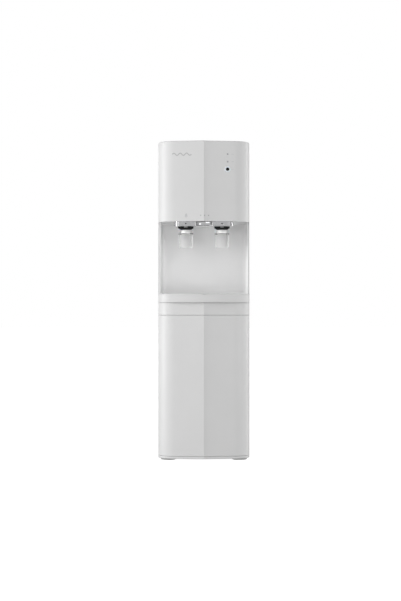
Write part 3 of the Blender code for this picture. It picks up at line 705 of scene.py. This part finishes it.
# ---- drip tray ----
def make_drip_tray():
    """The ledge is the tray's front: a fine groove runs round it under the top edge."""
    bottom = STRIP_TOP + 0.0002
    groove_z, groove_half, groove_depth = LEDGE_TOP - 0.0046, 0.0005, 0.0009
    rings = rounded_rings(bowed_outline, bottom, LEDGE_TOP, 0.0016, 0.0003, 6)
    groove = [[(x, y, groove_z + groove_half * part) for x, y in bowed_outline(inset)]
              for part, inset in ((-1, 0), (-0.6, groove_depth), (0.6, groove_depth), (1, 0))]
    tray = loft("tray_moulding", rings[:7] + groove + rings[7:], 30.0)
    combined(tray, [prism("block", niche_outline(0.001, -0.112), bottom, LEDGE_TOP)])
    above = LEDGE_TOP + 0.01
    basin = prism("basin", rounded_box(-0.130, -0.150, 0.130, -0.0065, 0.012), 0.5470, above)
    rebate = prism("rebate", rounded_box(-0.1335, -0.1535, 0.1335, -0.0045, 0.014), 0.5700, above)
    radius, depth = 0.0097, 0.005
    notch = build("notch", add_rod, [((0, -0.166, LEDGE_TOP + radius - depth), radius, 0.03, "Y", 64)])
    carve(tray, basin, rebate, notch)
    tray.data.set_sharp_from_angle(angle=radians(30))
    stand_in(soften(tray, 0.0004, angle=55), "drip_tray", "drip_tray")


def make_grille():
    """Plate with rows of slots to each side of a middle rib."""
    plate = prism("grille_plate", rounded_box(-0.1330, -0.1530, 0.1330, -0.0050, 0.0135), 0.5703, 0.5722)
    width, pitch, rib_half, reach = 0.0022, 0.0056, 0.0025, 0.112
    starts = [-0.1445 + pitch * row for row in range(24)]
    slots = [(rounded_box(x0, y, x1, y + width, 0.00105), 0.56, 0.58)
             for y in starts for x0, x1 in ((-reach, -rib_half), (rib_half, reach))]
    carve(plate, build("slots", add_prism, slots))
    stand_in(soften(plate, 0.0005), "drip_grille", "drip_grille")


# ---- taps ----
def make_console():
    """White body under the ceiling, with a pocket for the button and the holes for the taps."""
    top = CEILING - GAP
    half = console_outline(0.0017)
    outline = half + [(-x, y) for x, y in reversed(half[1:])]
    console = prism("console_body", outline, CONSOLE_BOTTOM, top)
    pocket = box("pocket", (-0.0278, -0.170, CONSOLE_BOTTOM + 0.0006), (0.0278, -0.130, 0.83))
    carve(console, tap_bores(CONSOLE_BOTTOM - 0.01, 0.04), pocket)
    stand_in(soften(console, 0.0005), "tap_console")


def make_trims():
    """Chrome plates round the console's two ends, each with a small dark window over its tap."""
    top = CEILING - GAP
    inner_end, rear_end, thickness = 0.0300, -0.130, 0.0014
    section = (console_outline(0.0, inner_end, rear_end)
               + console_outline(thickness, inner_end, rear_end)[::-1])
    dot_z, radius = (CONSOLE_BOTTOM + top) / 2 + 0.0006, 0.0021
    profile = [(0, 0), (radius, 0), (radius, 0.0010), (radius * 0.6, 0.0014), (0, 0.0015)]
    for name, side in (("left", -1), ("right", 1)):
        x = side * TAP_X
        trim = prism(f"trim_plate_{name}", [(side * a, y) for a, y in section], CONSOLE_BOTTOM, top)
        hole = ((x, CONSOLE_FRONT + 0.01, dot_z), radius + 0.0002, 0.02, "Y")
        carve(trim, build("window", add_rod, [hole]))
        stand_in(soften(trim, 0.0005, 3), f"chrome_trim_{name}")
        window = turned(f"trim_window_{name}", profile, (x, CONSOLE_FRONT + 0.0016, dot_z), "Y", 32)
        finished(window, "black_plastic")


def make_button():
    """Chrome bar, bulging forward, and the switch behind it."""
    near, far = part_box("select_button")
    half, bulge = far.x, 0.0062
    radius = (half**2 + bulge**2) / (2 * bulge)
    spread = atan2(half, radius - bulge)

    def plan(inset):
        shape = arc((0, near.y + radius), radius - inset, -pi / 2 - spread, -pi / 2 + spread, 40)
        inner = half - inset
        front = [(max(-inner, min(inner, x)), y) for x, y in shape]
        return front + [(inner, far.y), (-inner, far.y)]

    rings = rounded_rings(plan, near.z, far.z, 0.0012, 0.0012, 5)
    stand_in(loft("button_cap", rings), "select_button", "select_button")
    near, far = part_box("button_switch")
    centre = (near + far) / 2
    bm = bmesh.new()
    add_box(bm, (near.x, near.y + 0.004, near.z), far)
    add_rod(bm, (centre.x, near.y + 0.005, centre.z), 0.0018, 0.005, "Y")
    switch = mesh_object("button_switch_body", bm)
    stand_in(soften(switch, 0.0004), "button_switch")


def pin_bore(x):
    """Cutter for the hole that a tap's pivot pin runs through."""
    return build("pin_bore", add_rod, [((x - 0.03, TAP_Y, PIVOT_Z), 0.0023, 0.06, "X", 24)])


def make_valve(name, x):
    """White valve body with a grooved collar; the outlet's bore is open below."""
    collar_top, bottom, bore, inside = CONSOLE_BOTTOM - GAP, 0.7830, 0.0050, 0.7925
    lip = arc((0.0150, bottom + 0.0015), 0.0015, -pi / 2, 0, 6)
    profile = [(0, inside), (bore, inside), (bore, bottom + 0.0006), (bore + 0.0006, bottom), *lip,
               (0.0165, 0.7900), (0.0159, 0.7904), (0.0159, 0.7912), (0.0165, 0.7916),
               (0.0165, collar_top), (0.0127, collar_top), (0.0127, 0.8500), (0, 0.8500)]
    valve = turned(f"{name}_valve_body", profile, (x, TAP_Y, 0), steps=64)
    carve(valve, pin_bore(x))
    stand_in(valve, f"{name}_tap_valve")


def make_pin_and_spring(name, x):
    radius, half_length, edge = 0.0020, 0.0262, 0.0004
    length = 2 * half_length
    profile = [(0, 0), (radius - edge, 0), (radius, edge), (radius, length - edge),
               (radius - edge, length), (0, length)]
    pin = turned(f"{name}_pivot_pin", profile, (x - half_length, TAP_Y, PIVOT_Z), "X", 24)
    stand_in(pin, f"{name}_lever_pin")

    coils, steps, coil_radius, pitch = 2, 32, 0.0036, 0.0012
    turns = [i / steps for i in range(coils * steps + 1)]
    wire = [Vector((x + 0.0176 + pitch * t, TAP_Y + coil_radius * cos(2 * pi * t),
                    PIVOT_Z + coil_radius * sin(2 * pi * t))) for t in turns]
    spring = tube(f"{name}_return_spring", wire, 0.0004, 8)
    stand_in(spring, f"{name}_lever_spring")


def make_lever(name, x):
    """A black tapering bar notched at its middle, on two clouded arms that swing on the pin."""
    right = [(0.0060, 0.8015), (0.0066, 0.8052), (0.0262, 0.8052), (0.0270, 0.8044), (0.0264, 0.7990),
             (0.0225, 0.7968), (0.0205, 0.7950), (0.0165, 0.7938)]
    body = f"{name}_lever"
    bar = [(x + a, z) for a, z in with_left(right)]
    head = prism(f"{name}_lever_head", bar, -0.1500, -0.1455, "Y")
    stand_in(soften(head, 0.0005), body, body)

    end = arc((TAP_Y, PIVOT_Z), 0.005, pi / 2, 0, 8)
    arm = [(-0.1457, 0.8048), *end, (TAP_Y + 0.005, 0.7860), (-0.1310, 0.7860), (-0.1310, 0.7930),
           (-0.1457, 0.7930)]
    sides = [sorted((x + side * 0.0205, x + side * 0.0245)) for side in (-1, 1)]
    arms = build(f"{name}_lever_arms", add_prism, [(arm, *ends, "X") for ends in sides])
    carve(arms, pin_bore(x))
    stand_in(soften(arms, 0.0005), body, body, "milky_plastic")


def make_paddle_tabs(name, x):
    """A short tab on each side of the paddle's mouth, held by a pair of rivets."""
    tab_z, tab_half, rivet_radius = 0.7800, 0.0026, 0.0019
    tabs, rivets = [], []
    for side in (-1, 1):
        inner, outer = sorted((x + side * 0.0155, x + side * 0.0245))
        tabs.append(((inner, -0.1325, tab_z - tab_half), (outer, -0.1305, tab_z + tab_half)))
        for offset in (0.0178, 0.0236):
            rivets.append(((x + side * offset, -0.1334, tab_z), rivet_radius, 0.0032, "Y", 24))
    made = build(f"{name}_paddle_tabs", add_box, tabs)
    finished(soften(made, 0.0003), "clear_plastic", f"{name}_lever")
    made = build(f"{name}_paddle_rivets", add_rod, rivets)
    finished(soften(made, 0.0002), "black_plastic", f"{name}_lever")


def make_paddle(name, x):
    """Clear half-round channel a cup pushes against, with rolled front edges, narrower at its foot."""
    outer, inner, front, foot = 0.0245, 0.0225, -0.1310, 0.008
    bottom, top = low(f"{name}_paddle").z, high(f"{name}_paddle").z
    edge, between = (outer - inner) / 2, (outer + inner) / 2

    def section(z):
        taper = 0.0012 * max(0.0, (bottom + foot - z) / foot) ** 2
        out = arc((0, TAP_Y), outer - taper, 0, pi, 36)
        back = arc((0, TAP_Y), inner - taper, pi, 0, 36)
        right_roll, left_roll = (arc((side * (between - taper), front), edge, -pi, 0, 6)[1:-1]
                                 for side in (1, -1))
        return [(x + a, b, z) for a, b in [*right_roll, *out, *left_roll, *back]]

    steps = 10
    levels = [bottom + foot * i / steps for i in range(steps)] + [bottom + foot, top]
    paddle = loft(f"{name}_paddle_channel", [section(z) for z in levels], 50.0)
    stand_in(soften(paddle, 0.0004, 2, 60), f"{name}_paddle", f"{name}_lever")


# ---- lights and printed marks ----
def make_light_pipe(name, places, radius, behind, edge, crown, steps, margins):
    """Light ends just proud of the cover, joined by a bar behind it."""
    bm = bmesh.new()
    for x, z in places:
        length = behind - front_at(x) + 0.0002
        profile = [(0, 0), (radius, 0), (radius, length - edge), (radius * 0.7, length), (0, length + crown)]
        add_turned(bm, profile, (x, behind, z), "Y", steps)
    (x0, z0), (x1, z1) = places[0], places[-1]
    dx, dz = margins
    add_box(bm, (x0 - dx, behind, z0 - dz), (x1 + dx, behind + 0.002, z1 + dz))
    stand_in(mesh_object(f"{name}_lights", bm), f"{name}_light_pipe")


def make_sensor():
    """Slightly domed dark window in a pale ring that follows the cover's slope."""
    start = high("light_sensor_window").y
    rim = start - front_at(STATUS_X) - 0.0004
    dome = [(SENSOR_RADIUS * cos(t), rim + 0.0010 * sin(t)) for t in (pi / 2 * i / 8 for i in range(9))]
    profile = [(0, 0), (SENSOR_RADIUS, 0), *dome[:-1], (0, dome[-1][1])]
    window = turned("sensor_window", profile, (STATUS_X, start, SENSOR_Z), "Y", 48)
    stand_in(window, "light_sensor_window")

    ring_radius, ring_width, proud, steps = 0.0084, 0.0020, 0.0007, 72
    rings = []
    for t in (2 * pi * i / steps for i in range(steps)):
        ring = []
        for a in (2 * pi * k / 12 for k in range(12)):
            r = ring_radius + ring_width * cos(a)
            x = STATUS_X + r * cos(t)
            ring.append((x, front_at(x) - proud * sin(a), SENSOR_Z + r * sin(t)))
        rings.append(ring)
    finished(build("sensor_ring", add_loft, [(rings, True)], 60), "milky_plastic")


def print_on_cover(name, strokes, finish="print_grey"):
    """Thin raised strokes on the creased front: each stroke is (x, z) points and a half width."""
    bm = bmesh.new()
    sunk, raised = 0.0001, -0.00012
    for points, half_width in strokes:
        rings = []
        for i, (x, z) in enumerate(points):
            before, after = points[max(i - 1, 0)], points[min(i + 1, len(points) - 1)]
            run, rise = after[0] - before[0], after[1] - before[1]
            reach = half_width / sqrt(run * run + rise * rise)
            ring = []
            for side, depth in ((-1, sunk), (1, sunk), (1, raised), (-1, raised)):
                px, pz = x - side * rise * reach, z + side * run * reach
                ring.append((px, front_at(px) + depth, pz))
            rings.append(ring)
        add_loft(bm, rings)
    finished(mesh_object(name, bm), finish)


def make_marks():
    """A drop over the hot tap, three tick labels beside the status lights, and a plain wave badge."""
    drop_x, drop_z, size, steps = -0.061, 0.8425, 0.0062, 40
    drop = [(drop_x + size * 0.72 * sin(t) * sin(t / 2) ** 1.4, drop_z + size * cos(t))
            for t in (2 * pi * i / steps for i in range(steps + 1))]
    core = [(drop_x, drop_z - 0.0030), (drop_x, drop_z + 0.0014)]
    print_on_cover("drop_mark", [(drop, 0.0009), (core, 0.0013)])

    tick_left, tick_right = 0.0955, 0.1025
    ticks = [([(tick_left, z), (tick_right, z)], 0.0005) for z in (SENSOR_Z, *STATUS_Z)]
    print_on_cover("status_ticks", ticks)

    left, right, wave_z, swing, waves, steps = -0.109, -0.043, 1.053, 0.0040, 3, 90
    wave = [(left + (right - left) * i / steps, wave_z + swing * sin(2 * pi * waves * i / steps))
            for i in range(steps + 1)]
    print_on_cover("wave_badge", [(wave, 0.0013)], "badge_grey")


# ---- back of the cabinet ----
def make_screws(name, places, y):
    """Pan-head screws facing the back, each with a cross recess."""
    profile = [(0, 0), (0.0034, 0), (0.0036, -0.0005), (0.0030, -0.0014), (0.0016, -0.0020), (0, -0.0021)]
    heads = build(name, add_turned, [(profile, (x, y, z), "Y", 32) for x, z in places])
    arm, slot_half = 0.0018, 0.0003
    for across, upright in ((arm, slot_half), (slot_half, arm)):
        carve(heads, build("slot", add_box, [((x - across, y + 0.0012, z - upright),
                                              (x + across, y + 0.0040, z + upright)) for x, z in places]))
    finished(heads, "screw_steel")


def make_rear_cover():
    """Sheet with rows of slots for the compressor and the tank, and cut-outs for the services."""
    near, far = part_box("rear_cover")
    outline = rounded_box(near.x, near.z, far.x, far.z, 0.004, 4)
    sheet = prism("rear_sheet", outline, near.y, far.y, "Y")
    y0, y1 = near.y - 0.01, far.y + 0.01
    bm = bmesh.new()
    for first, count in ((0.175, 6), (0.885, 9)):
        for z in (first + 0.014 * i for i in range(count)):
            for x0, x1 in ((-0.105, -0.038), (-0.034, 0.034), (0.038, 0.105)):
                add_prism(bm, rounded_box(x0, z, x1, z + 0.005, 0.0024, 5), y0, y1, "Y")
    for name, side, rise in (("hot_switch", 0.001, 0.0022), ("cold_switch", 0.001, 0.0022),
                             ("power_inlet", 0.0005, 0.0005)):
        a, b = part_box(name)
        add_box(bm, (a.x - side, y0, a.z - rise), (b.x + side, y1, b.z + rise))
    for name in ("water_inlet_fitting", "drain_fitting"):
        add_rod(bm, (middle(name).x, y1, middle(name).z), 0.0083, y1 - y0, "Y")
    carve(sheet, mesh_object("openings", bm))
    stand_in(soften(sheet, 0.0003, 1), "rear_cover")

    inset = 0.008
    heights = [near.z + inset, 0.140, 0.345, 0.600, 0.830, 0.868, far.z - inset]
    make_screws("rear_screws", [(x, z) for z in heights for x in (near.x + inset, far.x - inset)], far.y)


PIPE, RUNS, STRAIGHT = 0.0030, 9, 0.095      # the condenser pipe's radius, its runs and their half length
PIPE_Y = middle("condenser").y
FIRST_RUN = low("condenser").z + PIPE
PITCH = (high("condenser").z - low("condenser").z - 2 * PIPE) / (RUNS - 1)
RAILS = ("condenser_rail_left", "condenser_rail_right")


def make_condenser_pipe():
    """Black serpentine: level runs joined by half turns outside the rails."""
    route = []
    for run in range(RUNS):
        side = 1 if run % 2 else -1
        z = FIRST_RUN + PITCH * run
        route += [Vector((side * STRAIGHT * (1 - 2 * i / 12), PIPE_Y, z)) for i in range(13)]
        if run < RUNS - 1:
            bend = arc((0, 0), PITCH / 2, -pi / 2, pi / 2, 16)[1:-1]
            route += [Vector((-side * (STRAIGHT + a), PIPE_Y, z + PITCH / 2 + b)) for a, b in bend]
    stand_in(tube("condenser_pipe", route, PIPE, 16), "condenser")


def make_condenser_wires():
    """Thin upright wires, in front of and behind the pipe in turn, and none where a rail is."""
    wire, rail_half, count, reach, overhang = 0.0007, 0.0085, 37, 0.090, 0.008
    bm = bmesh.new()
    for i in range(count):
        x = -reach + 2 * reach * i / (count - 1)
        if min(abs(x - middle(rail).x) for rail in RAILS) < rail_half:
            continue
        y = PIPE_Y + (PIPE + wire * 0.8) * (1 if i % 2 else -1)
        add_rod(bm, (x, y, FIRST_RUN - overhang), wire, PITCH * (RUNS - 1) + 2 * overhang, steps=8)
    finished(mesh_object("condenser_wires", bm), "black_paint")


def make_condenser_rails():
    """Two rails that stand off the rear cover on a pad at each end, with a clip round every run."""
    pad, seat = 0.015, 0.1717
    clips = []
    for node in RAILS:
        a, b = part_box(node)
        outline = [(a.y, a.z), (b.y, a.z), (b.y, a.z + pad), (seat, a.z + pad), (seat, b.z - pad),
                   (b.y, b.z - pad), (b.y, b.z), (a.y, b.z)]
        rail = prism(node.removeprefix("condenser_"), outline, a.x, b.x, "X")
        stand_in(soften(rail, 0.0006), node)
        for run in range(RUNS):
            at = (PIPE_Y, FIRST_RUN + PITCH * run)
            clip = arc(at, PIPE + 0.0004, -2.2, 2.2, 14) + arc(at, PIPE + 0.0012, 2.2, -2.2, 14)
            clips.append((clip, middle(node).x - 0.004, middle(node).x + 0.004, "X"))
    finished(build("condenser_clips", add_prism, clips), "screw_steel")


def make_fittings():
    """Push-in tube fittings: bore, release collar, flange against the rear cover."""
    bore, nose, flange, shank = 0.0040, 0.0070, 0.0110, 0.0078
    collar = [(0.0042, 0), (0.0058, 0), (0.0060, 0.0003), (0.0060, 0.0006), (0.0042, 0.0006)]
    for node in ("water_inlet_fitting", "drain_fitting"):
        x, tip, z = middle(node).x, high(node).y, middle(node).z
        length = tip - low(node).y
        profile = [(0, 0.012), (bore, 0.012), (bore, 0.0003), (bore + 0.0003, 0), (nose - 0.0010, 0),
                   (nose, 0.0010), (nose, 0.0020), (nose - 0.0006, 0.0023), (nose - 0.0006, 0.0032),
                   (nose, 0.0035), (nose, 0.0085), (flange, 0.0085), (flange, 0.0117), (shank, 0.0117),
                   (shank, length), (0, length)]
        body = turned(f"{node}_body", profile, (x, tip, z), "Y", 48)
        stand_in(soften(body, 0.0003), node)
        finished(turned(f"{node}_collar", collar, (x, tip + 0.0004, z), "Y", 40), "print_grey")


def make_power_inlet():
    """Socket with two cut corners at its top and three pins."""
    a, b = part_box("power_inlet")
    shell = prism("inlet_shell", rounded_box(a.x, a.z, b.x, b.z, 0.002, 5), a.y, b.y, "Y")
    width, rise, cut, floor = 0.0120, 0.0080, 0.0045, b.y - 0.0145
    x, z = middle("power_inlet").x, middle("power_inlet").z
    opening = [(x - width, z - rise), (x + width, z - rise), (x + width, z + rise - cut),
               (x + width - cut, z + rise), (x - width + cut, z + rise), (x - width, z + rise - cut)]
    carve(shell, prism("recess", opening, floor, b.y + 0.01, "Y"))
    stand_in(soften(shell, 0.0004), "power_inlet")
    half, tall = 0.0009, 0.002
    bm = bmesh.new()
    for dx, dz in ((-0.007, -0.002), (0.007, -0.002), (0.0, 0.0025)):
        add_box(bm, (x + dx - half, floor - 0.001, z + dz - tall),
                (x + dx + half, b.y - 0.003, z + dz + tall))
    finished(soften(mesh_object("inlet_pins", bm), 0.0002), "stainless")


def make_switch(name, tint):
    """Rocker cap with a hollowed rear face, in a bezel, with a red or blue dot above it."""
    cover_back = high("rear_cover").y
    x = middle(name).x
    pivot_y, pivot_z, tilt = 0.1570, 0.846, radians(8)
    waist = arc((0.0265, 0.0), 0.0202, pi - 0.49, pi + 0.49, 12)
    face = [*waist, (-0.0060, -0.0060), (-0.0060, 0.0060)]
    outline = [(pivot_y + u * cos(tilt) - v * sin(tilt), pivot_z + u * sin(tilt) + v * cos(tilt))
               for u, v in face]
    cap = prism(f"{name}_cap", outline, low(name).x, high(name).x, "X")
    stand_in(soften(cap, 0.0004), name, name)
    half, tall = 0.0082, 0.0135
    rim = rounded_box(x - half, pivot_z - tall, x + half, pivot_z + tall, 0.0015, 5)
    bezel = prism(f"{name}_bezel", rim, cover_back, cover_back + 0.0012, "Y")
    half, tall = 0.0064, 0.0114
    carve(bezel, box("window", (x - half, cover_back - 0.01, pivot_z - tall),
                     (x + half, cover_back + 0.01, pivot_z + tall)))
    finished(soften(bezel, 0.0003), "black_plastic")
    profile = [(0, 0), (0.0022, 0), (0.0020, -0.0003), (0, -0.0004)]
    finished(turned(f"{name}_dot", profile, (x, cover_back, pivot_z + 0.019), "Y", 32), tint)


# ---- inside ----
def keep_cad_nodes():
    """CAD nodes that no piece stands for get their finish and softened edges."""
    for name, finish in SLOT_OF.items():
        if name in STOOD_FOR:
            continue
        node = frame["nodes"][name]
        node.data.materials.clear()
        node.data.materials.append(FINISHES[finish])
        node.modifiers.new("Weld", "WELD").merge_threshold = 0.00001
        soften(node, 0.0004)


def make_filter(node, band):
    """Cartridge: moulded sump, shoulder, neck with two seal rings, grip and a colour band."""
    x, y = middle(node).xy
    radius, neck, shoulder_z = 0.031, 0.0180, 0.430
    shoulder = [(radius - 0.005 + 0.005 * cos(t), shoulder_z + 0.012 * sin(t))
                for t in (pi / 2 * i / 8 for i in range(9))]
    seals = [point for z in (0.4555, 0.4635) for point in (
        (neck, z), (neck - 0.0012, z + 0.0003), (neck - 0.0012, z + 0.0027), (neck, z + 0.0030))]
    profile = [(0, 0.150), (0.025, 0.150), *arc((0.025, 0.156), 0.006, -pi / 2, 0, 8)[1:], *shoulder,
               (neck + 0.003, 0.4445), (neck, 0.447), *seals, (neck, 0.4740), (neck - 0.001, 0.4750),
               (0, 0.4750)]
    body = turned(f"{node}_cartridge", profile, (x, y, 0), steps=64)
    combined(body, [box("grip", (x - 0.020, y - 0.003, 0.138), (x + 0.020, y + 0.003, 0.1515))])
    stand_in(soften(body, 0.0010, 2, 50), node, node)
    rings = [[Vector((x + (neck - 0.0007) * cos(t), y + (neck - 0.0007) * sin(t), z))
              for t in (2 * pi * i / 48 for i in range(48))] for z in (0.4570, 0.4650)]
    seal_rings = build(f"{node}_seals", add_tube, [(ring, 0.0009, 10, True) for ring in rings], 80)
    finished(seal_rings, "grey_rubber", node)
    wrap = [(radius + proud, z) for proud, z in ((0.0001, 0.300), (0.0003, 0.300), (0.0003, 0.392),
                                                 (0.0001, 0.392))]
    finished(turned(f"{node}_band", wrap, (x, y, 0), steps=64), band, node)


def make_compressor():
    """Welded steel can: domed halves joined by a flange, a terminal cover, a process tube on top."""
    x, y = middle("compressor").xy
    floor = low("compressor").z
    dome = [(0.064 * cos(t), 0.120 + 0.046 * sin(t)) for t in (pi / 2 * i / 14 for i in range(14))]
    base = [(0.056 + 0.007 * sin(t), 0.036 - 0.016 * cos(t)) for t in (pi / 2 * i / 6 for i in range(7))]
    flange = [(0.0635, 0.094), (0.0680, 0.0945), (0.0680, 0.0985), (0.0638, 0.099)]
    profile = [(0, floor), (0.072, floor), (0.072, floor + 0.003), *base, *flange, *dome, (0, 0.166)]
    can = turned("compressor_can", profile, (x, y, 0), steps=72)
    stand_in(soften(can, 0.0008), "compressor")
    cover = box("terminal_cover", (x + 0.052, y - 0.028, 0.055), (x + 0.074, y + 0.028, 0.090))
    finished(soften(cover, 0.003, 4), "black_plastic")
    bends = ((-0.02, 0.02, 0.155), (-0.02, 0.02, 0.178), (-0.035, 0.035, 0.190), (-0.045, 0.050, 0.215))
    route = smooth_route([Vector((x + dx, y + dy, z)) for dx, dy, z in bends], 8)
    finished(tube("process_tube", route, 0.0030, 14), "copper")


# ---- studio ----
def make_floor():
    """A pale floor far wider than the picture."""
    bm = bmesh.new()
    bmesh.ops.create_grid(bm, x_segments=8, y_segments=8, size=40.0)
    floor = mesh_object("studio_floor", bm)
    floor.data.materials.append(FINISHES["studio_paper"])
    floor.visible_diffuse = False     # the world's own glow from below lights the object instead
    floor.visible_glossy = False


GLOW_BELOW, GLOW_ABOVE, GLOW_FRONT = 0.32, 0.45, 0.45


def make_world():
    """White to the camera; to the object, a faint glow all round and a stronger one in front."""
    world = bpy.data.worlds.new("studio")
    bpy.context.scene.world = world
    world.use_nodes = True
    tree = world.node_tree
    direction = add_node(tree, "TexCoord", "Generated")
    split = tree.nodes.new("ShaderNodeSeparateXYZ")
    feed(tree, split.inputs["Vector"], direction)
    around = span(tree, split.outputs["Z"], -0.05, 0.05, GLOW_BELOW, GLOW_ABOVE)
    facing = span(tree, split.outputs["Y"], -0.90, -0.65, GLOW_FRONT, 0.0)
    glow = tree.nodes["Background"]
    feed(tree, glow.inputs["Color"], maths(tree, "ADD", around, facing))
    seen = add_node(tree, "Background", "Background", {"Color": (1.0, 1.0, 1.0, 1.0)})
    to_camera = add_node(tree, "LightPath", "Is Camera Ray")
    mix = add_node(tree, "MixShader", "Shader", {0: to_camera, 1: glow.outputs["Background"], 2: seen})
    feed(tree, tree.nodes["World Output"].inputs["Surface"], mix)


STUDIO_BOXES = (    # name, degrees to the right of the front, degrees up, distance, width, height, watts
    ("fill", 26, 23, 3.0, 1.4, 1.2, 10),
    ("left_box", -74, 2, 2.5, 1.0, 2.2, 66),
    ("low_box", 44, -7, 2.5, 0.9, 0.5, 12),
    ("glint", -25, 6, 2.5, 0.45, 0.25, 1),
    ("right_rim", 105, 4, 2.5, 0.5, 2.2, 28),
)


def make_studio_lights():
    """Soft boxes around the cabinet, all turned to its middle."""
    aim = Vector((0, -0.10, 0.62))
    for name, azimuth, elevation, distance, width, tall, watts in STUDIO_BOXES:
        data = bpy.data.lights.new(name, "AREA")
        data.energy = watts
        data.shape = "RECTANGLE"
        data.size = width
        data.size_y = tall
        light = bpy.data.objects.new(name, data)
        bpy.context.collection.objects.link(light)
        a, e = radians(azimuth), radians(elevation)
        away = Vector((sin(a) * cos(e), -cos(a) * cos(e), sin(e)))
        light.location = aim + distance * away
        light.rotation_euler = away.to_track_quat("Z", "Y").to_euler()


def make_camera():
    """Just under half way up and tipped up a little, so that the cabinet is in the picture's middle."""
    distance, height, aside, aim_z = 4.0, 0.50, -0.0117, 0.5492
    data = bpy.data.cameras.new("camera")
    data.lens = 69.84
    data.sensor_width = 36.0
    camera = bpy.data.objects.new("camera", data)
    bpy.context.collection.objects.link(camera)
    camera.location = (aside, CREST_Y - distance, height)
    camera.rotation_euler = (pi / 2 - atan((height - aim_z) / distance), 0, 0)
    bpy.context.scene.camera = camera
    bpy.context.scene.view_settings.view_transform = "Standard"


# ---- the whole object ----
make_upper_cover()
make_cover_shell("strip_shell", LOWER_TOP + SEAM, STRIP_TOP, "cabinet", "front_strip")
make_cover_shell("lower_cover", BASE_TOP + SEAM, LOWER_TOP, "lower_front_cover", "lower_front_cover")
make_lower_cover_ribs()
make_base()
make_side_panels()
make_top_cover()
make_niche()
make_drip_tray()
make_grille()
make_console()
make_trims()
make_button()
for tap, tap_x in (("hot", -TAP_X), ("cold", TAP_X)):
    make_valve(tap, tap_x)
    make_pin_and_spring(tap, tap_x)
    make_lever(tap, tap_x)
    make_paddle_tabs(tap, tap_x)
    make_paddle(tap, tap_x)
make_light_pipe("status", [(STATUS_X, z) for z in STATUS_Z], STATUS_RADIUS, -0.154, 0.0004, 0.0001, 32,
                (0.003, 0.004))
make_light_pipe("mode", [(x, MODE_Z) for x in MODE_X], MODE_RADIUS, -0.164, 0.0003, 0.0, 24, (0.003, 0.0025))
make_sensor()
make_marks()
make_rear_cover()
make_condenser_pipe()
make_condenser_wires()
make_condenser_rails()
make_fittings()
make_power_inlet()
make_switch("hot_switch", "hot_dot")
make_switch("cold_switch", "cold_dot")
for cartridge, band in (("sediment", "band_blue"), ("carbon", "band_grey"), ("membrane", "band_teal")):
    make_filter(f"filter_{cartridge}", band)
make_compressor()
keep_cad_nodes()
make_floor()
make_world()
make_studio_lights()
make_camera()
